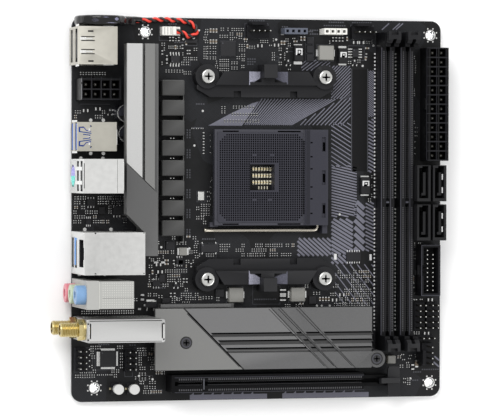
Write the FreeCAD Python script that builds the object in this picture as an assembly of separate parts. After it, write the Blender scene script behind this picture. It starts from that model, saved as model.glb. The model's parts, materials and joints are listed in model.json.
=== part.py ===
import FreeCAD, Part
import math
import os

# A mini-ITX motherboard. Every position below is in board coordinates, in mm: x runs from the
# rear-panel edge, y from the expansion-slot edge, z up from the board's underside. The files are
# written with the origin moved to the lower left mounting hole, at the board's underside.

V = FreeCAD.Vector
X_AXIS = V(1, 0, 0)
Y_AXIS = V(0, 1, 0)
Z_AXIS = V(0, 0, 1)

# board
BOARD = 170.0
TOP = 1.6
CORNER_R = 4.5
MOUNT_HOLE_R = 1.98
DATUM_HOLE = (10.16, 6.17)
MOUNT_HOLES = (DATUM_HOLE, (33.02, 163.65), (165.1, 163.65), (165.1, 6.17))

# processor cooler mounting
COOLER_CENTRE = (86.8, 99.0)
COOLER_SPAN_X = 54.0
COOLER_SPAN_Y = 90.0
COOLER_HOLE_R = 2.6
POST_R = 2.5
THREAD_R = 1.55
SCREW_R = 1.5
PLATE_T = 2.0

# processor socket
SOCKET_X = (63.1, 115.2)
SOCKET_Y = (77.9, 120.6)
CAM_BOX_X = 105.3
COVER_Z = (4.7, 8.6)
LEVER_R = 1.0
LEVER_HINGE = (111.4, 4.5)
LEVER_ARM_Y = 75.7
RUN_CLEARANCE = 0.05

# memory slots
DIMM_WIDTH = 6.2
DIMM_LEFT_EDGES = (139.5, 148.6)
DIMM_Y = (21.6, 164.4)
DIMM_TOWER_LENGTH = 6.6
DIMM_BODY_TOP = 10.0
DIMM_TOWER_TOP = 17.0
LATCH_TOP = 21.0
LATCH_PIVOT_Z = 5.2
LATCH_PIN_R = 0.9
CHEEK = 1.1
GAP = 0.3

# expansion slot latch hinge, in x and z
PCIE_PIVOT = (142.4, 5.4)

# rear panel sockets: x, y and z spans of each shell
DISPLAY_STACK = ((-1.2, 16.1), (148.4, 165.0), (TOP, 22.6))
USB_DUAL_STACK = ((-0.7, 16.9), (110.7, 123.4), (TOP, 17.4))
PS2_STACK = ((-0.9, 16.9), (92.4, 107.3), (TOP, 32.6))
LAN_STACK = ((-0.3, 26.6), (57.0, 75.5), (TOP, 31.6))
AUDIO_STACK = ((0.1, 20.8), (42.3, 54.7), (TOP, 35.6))
CAGE = ((0.2, 34.8), (27.9, 38.0), (TOP, 34.6))
SHELL_T = 0.5
USB_OPENING = (13.1, 5.1)
USB_DUAL_LEVELS = (5.2, 13.9)
PS2_USB_LEVELS = (19.5, 27.6)
LAN_USB_LEVELS = (5.0, 12.0)

# port openings and contact tongues that aren't USB, as y and z spans
DISPLAY_OPENINGS = [((149.6, 163.8), (4.2, 8.9)), ((149.5, 164.0), (14.6, 19.6))]
DISPLAY_TONGUES = [((151.0, 162.4), (5.8, 7.4)), ((151.2, 162.2), (16.2, 17.9))]
NETWORK_OPENING = ((60.3, 72.2), (18.9, 29.3))
NETWORK_CLIP_NOTCH = ((63.6, 68.9), (29.2, 30.5))
NETWORK_CONTACT_PITCH = 1.02

# round keyboard and mouse socket: a flush core inside a ring-shaped groove
PS2_CENTRE = (99.85, 8.4)
PS2_CORE_R = 4.2
PS2_GROOVE_R = 4.9
PS2_SLEEVE_R = 5.8

# slots in the tops of the steel shells: start, end and width of each, in plan
DISPLAY_SLOTS = (((3.0, 162.8), (5.4, 162.8), 0.7), ((3.1, 149.8), (5.5, 149.8), 0.7),
                 ((0.0, 160.4), (6.0, 160.4), 0.4), ((0.0, 158.7), (6.0, 158.7), 0.4),
                 ((0.0, 154.8), (6.0, 154.8), 0.4), ((0.0, 153.0), (6.0, 153.0), 0.4))
USB_TOP_SLOTS = (((0.3, 2.0), (0.3, 4.2), 0.6), ((0.1, 2.2), (5.6, 1.4), 0.4),
                 ((0.1, 4.0), (2.2, 4.2), 0.4), ((5.0, 4.6), (5.6, 4.6), 0.6),
                 ((1.9, 1.0), (5.0, 0.6), 0.4), ((4.9, -0.7), (4.9, 0.7), 0.5))
LAN_TOP_NOTCH = (4.3, 4.9)

# audio jacks and antenna jacks
JACK_Z = (7.0, 18.8, 30.6)
JACK_OUTER_R = 4.2
JACK_BORE_R = 1.8
JACK_REACH = 4.4
JACK_BACK = 10.0
WELL_ENDS = (10.2, 10.6, 11.0)
ANTENNA_Y = 33.4
ANTENNA_Z = (10.0, 28.8)
ANTENNA_R = 3.175
ANTENNA_SHANK_R = 3.0
ANTENNA_REACH = 10.6
NUT_FRONT = -2.7

# power stage
CHOKE_SIZE = (10.2, 6.9, 6.9)
CHOKE_X = 39.1
CHOKE_FIRST_Y = 73.3
CHOKE_PITCH = 8.87
SINK_TOP = 25.0
SINK_LEFT = 19.8
SINK_RIGHT = 33.6
SINK_Y = (65.0, 157.6)

# the heatsink's light top ends on this slanted line, from its left edge to its right edge
LIGHT_END_LEFT = 105.6
LIGHT_END_RIGHT = 92.6

# connectors with pins
ATX_SPAN = ((160.3, 169.8), (106.8, 157.7))
EPS_SPAN = ((1.6, 19.4), (133.1, 142.5))
POWER_PITCH = 4.2
POWER_TOP = 14.4
USB_HEADER = ((158.4, 167.4), (45.9, 68.9))
PIN_HALF = 0.32
PIN_PITCH = 2.54

# pin headers: low corner, columns, rows
PIN_HEADERS = (((157.0, 30.1), 2, 5), ((162.9, 30.1), 2, 5), ((1.2, 13.8), 2, 4),
               ((23.4, 13.2), 2, 4), ((158.6, 25.4), 3, 1))

# first pins of the fan headers: one column at the right edge, two rows at the upper edge
FAN_COLUMN = (163.2, 15.2)
FAN_ROWS = ((79.9, 164.4), (128.6, 164.4))

# M.2 cover and the drive bay under it
COVER_BOTTOM = 10.8
COVER_TOP = 13.6
DRIVE_Z = 7.0
DRIVE_PAD_T = 0.6
M2_SCREW_LEFT = (49.1, 26.3)
M2_SCREW_RIGHT = (136.7, 18.1)

# battery: a shrink-wrapped coin cell that stands on edge at the board's top edge
CELL_CENTRE = (10.4, 13.0)
CELL_R = 11.4
CELL_Y = (165.7, 169.9)
BATTERY_HEADER = ((39.6, 44.2), (162.1, 165.9))
BATTERY_PLUG = ((44.2, 48.2), (162.1, 165.9))

# its lead: the tube's radius, and the corners of its route, rounded off where it bends
LEAD_R = 1.2
LEAD_ROUTE = [(27.6, 168.5, 3.8), (32.4, 168.5, 3.8), (38.0, 169.2, 3.1), (44.4, 169.1, 3.0),
              (49.6, 168.7, 3.0), (53.4, 167.9, 3.0), (55.9, 165.8, 3.0), (55.9, 163.2, 3.2),
              (53.5, 161.6, 3.9), (50.8, 162.0, 5.0), (48.5, 163.8, 5.8), (45.9, 163.8, 5.8)]


def box(x, y, z):
    """A block from its (low, high) span along each axis."""
    return Part.makeBox(x[1] - x[0], y[1] - y[0], z[1] - z[0], V(x[0], y[0], z[0]))


def cylinder(radius, start, length, axis=Z_AXIS):
    return Part.makeCylinder(radius, length, V(*start), axis)


def ring(outer, inner, start, length, axis=Z_AXIS):
    return cylinder(outer, start, length, axis).cut(cylinder(inner, start, length, axis))


def extrude(points, vector):
    corners = [V(*p) for p in points]
    return Part.Face(Part.makePolygon(corners + corners[:1])).extrude(vector)


def plate(points, z):
    """An outline in plan, raised over a z span."""
    return extrude([(x, y, z[0]) for x, y in points], V(0, 0, z[1] - z[0]))


def profile_along_y(points, y):
    """An x-z outline swept over a y span."""
    return extrude([(x, y[0], z) for x, z in points], V(0, y[1] - y[0], 0))


def profile_along_x(points, x):
    """A y-z outline swept over an x span."""
    return extrude([(x[0], y, z) for y, z in points], V(x[1] - x[0], 0, 0))


def centred(middle, size):
    return (middle - size / 2, middle + size / 2)


def rounded_block(x, y, z, radius):
    """A block whose four upright corners are rounded."""
    block = box(x, y, z)
    upright = [e for e in block.Edges if abs(e.tangentAt(e.FirstParameter).z) > 0.9]
    return block.makeFillet(radius, upright)


def hexagon(flats, start, length):
    """A hexagonal prism along +X, measured across its flats."""
    reach = flats / 2 / math.cos(math.pi / 6)
    turns = [math.pi / 3 * i for i in range(6)]
    corners = [(start[1] + reach * math.cos(a), start[2] + reach * math.sin(a)) for a in turns]
    return profile_along_x(corners, (start[0], start[0] + length))


def fuse(solids):
    joined = solids[0]
    for solid in solids[1:]:
        joined = joined.fuse(solid)
    return joined.removeSplitter()


def cut(solid, tools):
    for tool in tools:
        solid = solid.cut(tool)
    return solid


def mirrored(shape, y):
    """The shape reflected in the plane at this y."""
    return shape.mirror(V(0, y, 0), Y_AXIS)


def export(name, solids):
    """Write one node: a single solid, or a group of separate ones."""
    group = solids if isinstance(solids, list) else [solids]
    moved = []
    for solid in group:
        copy = solid.copy()
        copy.translate(V(-DATUM_HOLE[0], -DATUM_HOLE[1], 0))
        moved.append(copy)
    shape = moved[0] if len(moved) == 1 else Part.makeCompound(moved)
    shape.exportStep("parts/" + name + ".step")


def cooler_corners():
    cx, cy = COOLER_CENTRE
    return [(cx + sx * COOLER_SPAN_X / 2, cy + sy * COOLER_SPAN_Y / 2)
            for sx in (-1, 1) for sy in (-1, 1)]


def circuit_board():
    board = rounded_block((0, BOARD), (0, BOARD), (0, TOP), CORNER_R)
    holes = [cylinder(MOUNT_HOLE_R, (x, y, -1), 4) for x, y in MOUNT_HOLES]
    holes += [cylinder(COOLER_HOLE_R, (x, y, -1), 4) for x, y in cooler_corners()]
    return cut(board, holes)


def cpu_backplate():
    """Steel plate under the socket, with a threaded post through the board at each corner."""
    cx, cy = COOLER_CENTRE
    width, length, waist = 66.0, 102.0, 7.0
    pad = 14.0
    x0, x1 = cx - width / 2, cx + width / 2
    y0, y1 = cy - length / 2, cy + length / 2
    outline = [(x0, y0), (x1, y0), (x1, y0 + pad), (x1 - waist, y0 + 2 * pad),
               (x1 - waist, y1 - 2 * pad), (x1, y1 - pad), (x1, y1), (x0, y1),
               (x0, y1 - pad), (x0 + waist, y1 - 2 * pad), (x0 + waist, y0 + 2 * pad),
               (x0, y0 + pad)]
    body = plate(outline, (-PLATE_T, 0))
    upright = [e for e in body.Edges if abs(e.tangentAt(e.FirstParameter).z) > 0.9]
    body = body.makeFillet(3.0, upright)
    body = body.cut(rounded_block((cx - 7, cx + 7), (cy - 7, cy + 7), (-3, 1), 2.0))
    posts = [cylinder(POST_R, (x, y, -0.1), TOP + 0.1) for x, y in cooler_corners()]
    threads = [cylinder(THREAD_R, (x, y, -1), 4) for x, y in cooler_corners()]
    return cut(fuse([body] + posts), threads)


def cooler_bracket():
    """Upper retention bracket: two screw bosses, a raised deck with a clip hook, an inner ledge."""
    cx, cy = COOLER_CENTRE
    half = COOLER_SPAN_X / 2
    boss_y = cy + COOLER_SPAN_Y / 2
    boss_r, boss_top = 5.4, 8.0
    ledge_z, deck_z = (TOP, 6.6), (TOP, 9.0)
    deck_y = (140.3, 146.4)
    hook_x = (cx - 2.5, cx + 3.6)
    ledge = plate([(cx - 31.4, 140.3), (cx - 31.4, 138.4), (cx - 25.5, 134.9), (cx + 25.5, 134.9),
                   (cx + 31.4, 138.4), (cx + 31.4, 140.3)], ledge_z)
    deck = plate([(cx - 23.4, deck_y[0]), (cx + 23.4, deck_y[0]), (cx + 19.4, deck_y[1]),
                  (cx - 19.4, deck_y[1])], deck_z)
    web = box((cx - half, cx + half), (deck_y[0], boss_y), ledge_z)
    bosses = [cylinder(boss_r, (cx + s * half, boss_y, TOP), boss_top - TOP) for s in (-1, 1)]
    hook = box(hook_x, (143.4, 149.4), (TOP, 14.0))
    bracket = fuse([ledge, deck, web, hook] + bosses)
    # the pocket in the deck slopes down from both sides to the hook
    for side in (-1, 1):
        near = hook_x[0] if side < 0 else hook_x[1]
        far = near + side * 6.4
        pocket = profile_along_y([(near, 9.1), (near, 6.8), (far, 9.1)], (141.6, 146.5))
        bracket = bracket.cut(pocket)
    notches = [box((x - 1.6, x + 1.6), (134.0, 137.6), (4.6, 7.0)) for x in (cx - 13.0, cx + 13.0)]
    bores = [cylinder(SCREW_R + 0.1, (cx + s * half, boss_y, 0), 12) for s in (-1, 1)]
    return cut(bracket, notches + bores)


def bracket_screws():
    """Pan-head screws, each through a bracket boss into its backplate post."""
    head_r, head_z = 3.2, (8.0, 10.3)
    screws = []
    for x, y in cooler_corners():
        shank = cylinder(SCREW_R, (x, y, -0.8), head_z[0] + 0.8 + 0.2)
        head = cylinder(head_r, (x, y, head_z[0]), head_z[1] - head_z[0])
        edge = [e for e in head.Edges if abs(e.BoundBox.ZMin - head_z[1]) < 0.01]
        head = head.makeFillet(0.9, edge)
        cross = [box((x - a, x + a), (y - b, y + b), (9.2, 11)) for a, b in ((1.9, 0.4), (0.4, 1.9))]
        screws.append(cut(fuse([shank, head]), cross))
    return screws


def socket_base():
    """Pin field plate, with the cam box that holds the lever's shaft at its right end."""
    field_z = (TOP, COVER_Z[0] - GAP)
    cam_z = (TOP, 7.5)
    field = box((SOCKET_X[0] + 1.6, CAM_BOX_X + 1), (SOCKET_Y[0] + 0.6, SOCKET_Y[1] - 0.6), field_z)
    cam = box((CAM_BOX_X + 0.5, SOCKET_X[1]), SOCKET_Y, cam_z)
    foot = box((112.9, SOCKET_X[1]), (74.2, SOCKET_Y[0]), cam_z)
    window = box((79.2, 90.5), (93.5, 105.1), (0, 12))
    shaft = cylinder(LEVER_R + RUN_CLEARANCE, (LEVER_HINGE[0], 70, LEVER_HINGE[1]), 47.5, Y_AXIS)
    catch = box((SOCKET_X[0] - 1.2, SOCKET_X[0] + 2.4), (SOCKET_Y[0] - 0.7, SOCKET_Y[0] + 1.4), field_z)
    return cut(fuse([field, cam, foot, catch]), [window, shaft])


def socket_cover():
    """Sliding cover: it carries the processor and runs over the cam box."""
    low = box((SOCKET_X[0], CAM_BOX_X), SOCKET_Y, COVER_Z)
    high = box((CAM_BOX_X - 0.6, SOCKET_X[1] - 0.1), SOCKET_Y, (7.8, 9.1))
    window = box((79.2, 90.5), (93.5, 105.1), (0, 12))
    slots = [box((112.2, 113.9), (y - 3.2, y + 3.2), (8.4, 10)) for y in (84.5, 99.2, 114.0)]
    key = plate([(63.0, 78.0), (66.4, 78.0), (63.0, 81.4)], (8.1, 10))
    joined = fuse([low, high])
    rim = cut(box((SOCKET_X[0] - 1, CAM_BOX_X - 1.2), (SOCKET_Y[0] - 1, SOCKET_Y[1] + 1), (8.2, 9)),
              [box((SOCKET_X[0] + 1.3, CAM_BOX_X - 1.9), (SOCKET_Y[0] + 1.3, SOCKET_Y[1] - 1.3), (8, 10))])
    return cut(joined, [window, key, rim] + slots)


def socket_lever():
    """Bent steel rod: a shaft in the cam box, an arm beside the cover and a finger tip."""
    hinge_x, hinge_z = LEVER_HINGE
    bend = 2.0
    tip_x = 59.6
    shaft_end = V(hinge_x, 116.5, hinge_z)
    bend_in = V(hinge_x, LEVER_ARM_Y + bend, hinge_z)
    corner = math.cos(math.pi / 4) * bend
    bend_mid = V(hinge_x - bend + corner, LEVER_ARM_Y + bend - corner, hinge_z)
    bend_out = V(hinge_x - bend, LEVER_ARM_Y, hinge_z)
    arm_end = V(tip_x + 4, LEVER_ARM_Y, hinge_z)
    tip = V(tip_x, LEVER_ARM_Y, hinge_z + 1.2)
    path = Part.Wire([Part.LineSegment(shaft_end, bend_in).toShape(),
                      Part.Arc(bend_in, bend_mid, bend_out).toShape(),
                      Part.LineSegment(bend_out, arm_end).toShape()])
    section = Part.Wire(Part.makeCircle(LEVER_R, shaft_end, Y_AXIS))
    rod = path.makePipeShell([section], True, True)
    finger = cylinder(LEVER_R, arm_end, (tip - arm_end).Length, tip - arm_end)
    knuckle = Part.makeSphere(LEVER_R, arm_end)
    end = Part.makeSphere(LEVER_R, tip)
    return fuse([rod, finger, knuckle, end])


def dimm_slot(left):
    """Memory slot: a grooved bar with a key rib and an open cheeked tower at each end."""
    right = left + DIMM_WIDTH
    low, high = DIMM_Y
    body = box((left, right), DIMM_Y, (TOP, DIMM_BODY_TOP))
    towers = [box((left, right), span, (TOP, DIMM_TOWER_TOP))
              for span in ((low, low + DIMM_TOWER_LENGTH), (high - DIMM_TOWER_LENGTH, high))]
    middle = (left + right) / 2
    groove = box((middle - 0.8, middle + 0.8), (low + 2, high - 2), (3.6, 20))
    key = box((middle - 0.8, middle + 0.8), (87.2, 89.4), (3.6, DIMM_BODY_TOP - 1.2))
    slot = fuse([body] + towers).cut(groove)
    slot = fuse([slot, key])
    inner = (left + CHEEK, right - CHEEK)
    pockets = [box(inner, span, (TOP + 0.6, 20))
               for span in ((low - 1, low + 5.2), (high - 5.2, high + 1))]
    slot = cut(slot, pockets)
    pins = [cylinder(LATCH_PIN_R, (left + 0.5, y, LATCH_PIVOT_Z), DIMM_WIDTH - 1.0, X_AXIS)
            for y in latch_pivots()]
    return fuse([slot] + pins)


def latch_pivots():
    return (DIMM_Y[0] + 2.4, DIMM_Y[1] - 2.4)


def dimm_latch_top(left):
    """Latch at the upper end of a slot: it swings out about a pin low in the tower."""
    x = (left + CHEEK + GAP, left + DIMM_WIDTH - CHEEK - GAP)
    wide = (left + 0.2, left + DIMM_WIDTH - 0.2)
    pivot = latch_pivots()[1]
    heel = cylinder(2.1, (x[0], pivot, LATCH_PIVOT_Z), x[1] - x[0], X_AXIS)
    stem = box(x, (pivot - 1.9, pivot + 1.9), (LATCH_PIVOT_Z, LATCH_TOP - 1.4))
    hook = profile_along_x([(pivot - 2.4, 14.6), (pivot - 1.8, 13.6), (pivot, 13.6), (pivot, 17.4),
                            (pivot - 2.4, 17.4)], x)
    head = profile_along_x([(pivot - 2.8, DIMM_TOWER_TOP + 0.6), (pivot + 2.4, DIMM_TOWER_TOP + 0.6),
                            (pivot + 2.4, LATCH_TOP), (pivot - 1.2, LATCH_TOP),
                            (pivot - 2.8, LATCH_TOP - 1.8)], wide)
    latch = fuse([heel, stem, hook, head])
    thumb = box((left + 1.5, left + DIMM_WIDTH - 1.5), (pivot + 0.9, pivot + 3), (18.8, 22))
    card = box(centred(left + DIMM_WIDTH / 2, 1.6), (pivot - 5, pivot - 1.0), (6, 30))
    bore = cylinder(LATCH_PIN_R + RUN_CLEARANCE, (left, pivot, LATCH_PIVOT_Z), DIMM_WIDTH, X_AXIS)
    return cut(latch, [thumb, card, bore])


def pcie_slot():
    """Expansion slot: a grooved bar with a key rib, and a narrow tail that carries the latch."""
    y = (4.2, 12.0)
    middle = (y[0] + y[1]) / 2
    bar = box((42.6, 130.8), y, (TOP, 12.8))
    tail = box((130.8, 138.6), (5.6, 10.6), (TOP, 8.2))
    groove = box((44.2, 140), (middle - 0.9, middle + 0.9), (4.4, 20))
    key = box((56.2, 58.0), (middle - 0.9, middle + 0.9), (4.4, 11.6))
    cheeks = [box((138.6, 143.8), span, (TOP, 8.2)) for span in ((5.6, 6.6), (9.6, 10.6))]
    hinge_pin = cylinder(LATCH_PIN_R, (PCIE_PIVOT[0], 6.0, PCIE_PIVOT[1]), 4.2, Y_AXIS)
    return fuse([bar.cut(groove), tail.cut(groove), key, hinge_pin] + cheeks)


def pcie_latch():
    """Card retention latch: a hook between the cheeks, and a finger pad each side."""
    px, pz = PCIE_PIVOT
    y = (6.9, 9.3)
    heel = cylinder(1.9, (px, y[0], pz), y[1] - y[0], Y_AXIS)
    stem = profile_along_y([(px - 1.8, pz), (px + 1.8, pz), (px + 6.2, 9.2), (px + 6.2, 10.6),
                            (px - 3.2, 12.6), (px - 3.6, 10.2), (px - 1.8, 8.8)], y)
    bridge = box((px + 0.4, px + 6.0), (2.6, 13.6), (8.9, 10.4))
    pads = [plate([(px + 0.4, 9.0), (px + 6.0, 9.0), (px + 6.0, 14.3), (px + 0.8, 14.3)], (8.9, 10.4)),
            plate([(px + 0.8, 1.0), (px + 6.0, 1.0), (px + 6.0, 7.0), (px + 0.4, 7.0)], (8.9, 10.4))]
    bore = cylinder(LATCH_PIN_R + RUN_CLEARANCE, (px, 0, pz), 20, Y_AXIS)
    return fuse([heel, stem, bridge] + pads).cut(bore)


def power_header(x, y, columns, rows):
    """Power header: a block of square pockets, one round each pin, with a latch ridge."""
    block = box(x, y, (TOP, POWER_TOP))
    pockets = []
    for px, py in grid(x, y, columns, rows):
        pockets.append(box((px - 1.7, px + 1.7), (py - 1.7, py + 1.7), (4.4, 20)))
    return cut(block, pockets)


def grid(x, y, columns, rows):
    """Pin centres at the power pitch, centred in the x and y spans."""
    cx, cy = (x[0] + x[1]) / 2, (y[0] + y[1]) / 2
    return [(cx + (i - (columns - 1) / 2) * POWER_PITCH, cy + (j - (rows - 1) / 2) * POWER_PITCH)
            for i in range(columns) for j in range(rows)]


def atx_power_header():
    body = power_header(ATX_SPAN[0], ATX_SPAN[1], 2, 12)
    ridge = box((159.3, ATX_SPAN[0][0]), (129.8, 134.8), (8.0, 12.6))
    return fuse([body, ridge])


def cpu_power_header():
    body = power_header(EPS_SPAN[0], EPS_SPAN[1], 4, 2)
    ridge = box((8.0, 13.0), (EPS_SPAN[1][1], 143.6), (8.0, 12.6))
    return fuse([body, ridge])


def power_pins():
    pins = []
    for px, py in grid(ATX_SPAN[0], ATX_SPAN[1], 2, 12) + grid(EPS_SPAN[0], EPS_SPAN[1], 4, 2):
        pins.append(box((px - 0.55, px + 0.55), (py - 0.55, py + 0.55), (4.4, 11.6)))
    return pins


def sata_block(low_y):
    """Two upright storage ports on one base, each with a wedge tongue in an open pocket."""
    y = (low_y, low_y + 16.2)
    base = box((155.0, 168.7), y, (TOP, 5.0))
    block = base
    for left in (155.0, 162.4):
        port = box((left, left + 6.3), y, (4.9, 15.0))
        pocket = box((left + 0.9, left + 5.2), (y[0] + 1.4, y[1] - 1.2), (5.0, 20))
        key = box((left + 2.4, left + 5.2), (y[1] - 2.4, y[1] - 0.4), (5.0, 20))
        tongue = box((left + 3.2, left + 4.4), (y[0] + 2.6, y[1] - 3.2), (4.9, 13.4))
        foot = box((left + 2.4, left + 4.4), (y[0] + 2.6, y[0] + 3.8), (4.9, 13.4))
        block = fuse([block, cut(port, [pocket, key]), tongue, foot])
    windows = [box((167.0, 170), (y[0] + c - 1.25, y[0] + c + 1.25), (8.0, 13.0)) for c in (5.0, 11.0)]
    return cut(block, windows)


def usb3_header():
    """Twenty-position header: a keyed shroud round two rows of pins."""
    (x0, x1), (y0, y1) = USB_HEADER
    shroud = box((x0, x1), (y0, y1), (TOP, 10.5))
    cavity = box((x0 + 1.1, x1 - 1.1), (y0 + 1.1, y1 - 1.1), (3.4, 20))
    notch = box((x0 - 1, x0 + 2), (55.0, 59.8), (4.4, 20))
    return cut(shroud, [cavity, notch])


def usb3_header_pins():
    (x0, x1), (y0, y1) = USB_HEADER
    pins = []
    for column, x in enumerate(((x0 + x1) / 2 - 1.3, (x0 + x1) / 2 + 1.3)):
        for i in range(10 - column):
            y = (y0 + y1) / 2 + (i - 4.5) * 2.0
            pins.append(box((x - 0.25, x + 0.25), (y - 0.25, y + 0.25), (3.4, 9.4)))
    return pins


def header_bases():
    bases = []
    for (x, y), columns, rows in PIN_HEADERS:
        bases.append(box((x, x + columns * PIN_PITCH), (y, y + rows * PIN_PITCH), (TOP, 4.1)))
    return bases


def pin(x, y, bottom, top):
    return box((x - PIN_HALF, x + PIN_HALF), (y - PIN_HALF, y + PIN_HALF), (bottom, top))


def fan_pins():
    """Centres of the fan headers' pins, four to a header."""
    x, y = FAN_COLUMN
    places = [(x, y + i * PIN_PITCH) for i in range(4)]
    for x, y in FAN_ROWS:
        places += [(x + i * PIN_PITCH, y) for i in range(4)]
    return places


def header_pins():
    """Every bare pin: pin headers, fan headers and the front USB header."""
    pins = []
    for (x, y), columns, rows in PIN_HEADERS:
        for i in range(columns):
            for j in range(rows):
                pins.append(pin(x + (i + 0.5) * PIN_PITCH, y + (j + 0.5) * PIN_PITCH, 4.1, 10.1))
    pins += [pin(x, y, 4.8, 12.6) for x, y in fan_pins()]
    return pins + usb3_header_pins()


def fan_headers():
    """Four-pin fan headers: a base, and a guide wall along one side."""
    right = fuse([box((160.4, 166.0), (13.9, 24.3), (TOP, 4.8)),
                  box((158.9, 160.4), (14.9, 21.4), (TOP, 11.4))])
    headers = [right]
    for left in (78.6, 127.3):
        headers.append(fuse([box((left, left + 10.3), (161.4, 167.0), (TOP, 4.8)),
                             box((left + 1.0, left + 7.6), (167.0, 168.4), (TOP, 11.4))]))
    return headers


def lighting_sockets(x, y, top):
    """An upright socket with four pockets."""
    block = box(x, y, (TOP, top))
    step = (x[1] - x[0]) / 4
    middle = (y[0] + y[1]) / 2
    pockets = []
    for i in range(4):
        centre = x[0] + (i + 0.5) * step
        pockets.append(box((centre - 0.6, centre + 0.6), (middle - 0.6, middle + 0.6), (5.0, 20)))
    return cut(block, pockets)


def port_shell(stack, openings):
    """Folded steel shell: open underneath, with an opening for each port in its outer face."""
    (x0, x1), (y0, y1), (z0, z1) = stack
    shell = box((x0, x1), (y0, y1), (z0, z1))
    hollow = box((x0 + SHELL_T, x1 - SHELL_T), (y0 + SHELL_T, y1 - SHELL_T), (z0 - 1, z1 - SHELL_T))
    doors = [box((x0 - 1, x0 + 1), y, z) for y, z in openings]
    return cut(shell, [hollow] + doors)


def shell_slots(slots, top):
    """Tools for slots in a shell's top, each a straight cut from start to end."""
    tools = []
    for (ax, ay), (bx, by), width in slots:
        length = math.hypot(bx - ax, by - ay)
        nx, ny = -(by - ay) / length * width / 2, (bx - ax) / length * width / 2
        outline = [(ax + nx, ay + ny), (bx + nx, by + ny), (bx - nx, by - ny), (ax - nx, ay - ny)]
        tools.append(plate(outline, (top - SHELL_T, top + 1)))
    return tools


def display_shell():
    slots = shell_slots(DISPLAY_SLOTS, DISPLAY_STACK[2][1])
    return cut(port_shell(DISPLAY_STACK, DISPLAY_OPENINGS), slots)


def usb_dual_shell(openings):
    """Shell with three spring tongues cut in its top, alike on both sides of its middle line."""
    middle = sum(USB_DUAL_STACK[1]) / 2
    slots = []
    for side in (-1, 1):
        for (ax, ay), (bx, by), width in USB_TOP_SLOTS:
            slots.append(((ax, middle + side * ay), (bx, middle + side * by), width))
    return cut(port_shell(USB_DUAL_STACK, openings), shell_slots(slots, USB_DUAL_STACK[2][1]))


def port_insert(stack, openings, depth, tongues):
    """Moulded block that fills a shell, with a pocket and contact tongue behind each opening."""
    (x0, x1), (y0, y1), (z0, z1) = stack
    front = x0 + SHELL_T
    block = box((front, x1 - SHELL_T), (y0 + SHELL_T, y1 - SHELL_T), (z0, z1 - SHELL_T))
    pockets = [box((front - 1, front + depth), y, z) for y, z in openings]
    tongue_blocks = [box((front - 0.4, front + depth + 0.2), y, z) for y, z in tongues]
    return fuse([cut(block, pockets)] + tongue_blocks)


def usb_ports(middle, levels):
    """Opening and tongue spans of USB ports, one at each height."""
    wide, high = USB_OPENING
    openings = [(centred(middle, wide), centred(z, high)) for z in levels]
    tongues = [(centred(middle, 11.2), (z + 0.2, z + 2.3)) for z in levels]
    return openings, tongues


def ps2_shell(openings):
    y, z = PS2_CENTRE
    return port_shell(PS2_STACK, openings).cut(cylinder(PS2_GROOVE_R, (-2, y, z), 3, X_AXIS))


def ps2_insert(openings, tongues):
    y, z = PS2_CENTRE
    bore = cylinder(PS2_SLEEVE_R, (-2, y, z), 14, X_AXIS)
    return port_insert(PS2_STACK, openings, 11.0, tongues).cut(bore)


def ps2_socket():
    """Round keyboard and mouse socket: a sleeve, and a pierced core with a ring groove round it."""
    y, z = PS2_CENTRE
    front = PS2_STACK[0][0]
    sleeve_start = front + SHELL_T
    sleeve = ring(PS2_SLEEVE_R, PS2_GROOVE_R, (sleeve_start, y, z), 12.0 - sleeve_start, X_AXIS)
    floor = cylinder(PS2_GROOVE_R, (8.0, y, z), 4.0, X_AXIS)
    core = cylinder(PS2_CORE_R, (front + 0.05, y, z), 8.5 - front, X_AXIS)
    holes = [box((-2, 6.0), (y - 1.1, y + 1.1), (z - 0.6, z + 0.6))]
    for turn in (25, 70, 110, 155, 205, 335):
        hy = y + 2.9 * math.cos(math.radians(turn))
        hz = z + 2.9 * math.sin(math.radians(turn))
        holes.append(cylinder(0.5, (-2, hy, hz), 8.0, X_AXIS))
    return cut(fuse([sleeve, floor, core]), holes)


def lan_shell(openings):
    """Shell with a small notch in both edges of its top."""
    shell = port_shell(LAN_STACK, openings + [NETWORK_OPENING, NETWORK_CLIP_NOTCH])
    (y0, y1), top = LAN_STACK[1], LAN_STACK[2][1]
    edges = ((y0, y0 + 0.7), (y1 - 0.7, y1))
    notches = [box(LAN_TOP_NOTCH, edge, (top - SHELL_T, top + 1)) for edge in edges]
    return cut(shell, notches)


def lan_insert(openings, tongues):
    """USB ports below, network jack above with eight contact ribs on its floor."""
    insert = port_insert(LAN_STACK, openings + [NETWORK_OPENING, NETWORK_CLIP_NOTCH], 12.5, tongues)
    middle = sum(LAN_STACK[1]) / 2
    floor = NETWORK_OPENING[1][0]
    ribs = []
    for i in range(8):
        y = middle + (i - 3.5) * NETWORK_CONTACT_PITCH
        ribs.append(box((3.0, 12.6), (y - 0.2, y + 0.2), (floor - 0.1, floor + 0.9)))
    return fuse([insert] + ribs)


def audio_block():
    """Tall audio housing: a deep front bezel and a narrower body behind it."""
    (x0, x1), (y0, y1), (z0, z1) = AUDIO_STACK
    bezel = box((x0, 5.3), (y0, y1), (z0, z1))
    body = box((5.3, x1), (y0 + 0.3, y1 - 0.3), (z0, z1 - 0.2))
    middle = (y0 + y1) / 2
    wells = [cylinder(JACK_OUTER_R, (-1, middle, z), end + 1, X_AXIS) for z, end in zip(JACK_Z, WELL_ENDS)]
    return cut(fuse([bezel, body]), wells)


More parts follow.
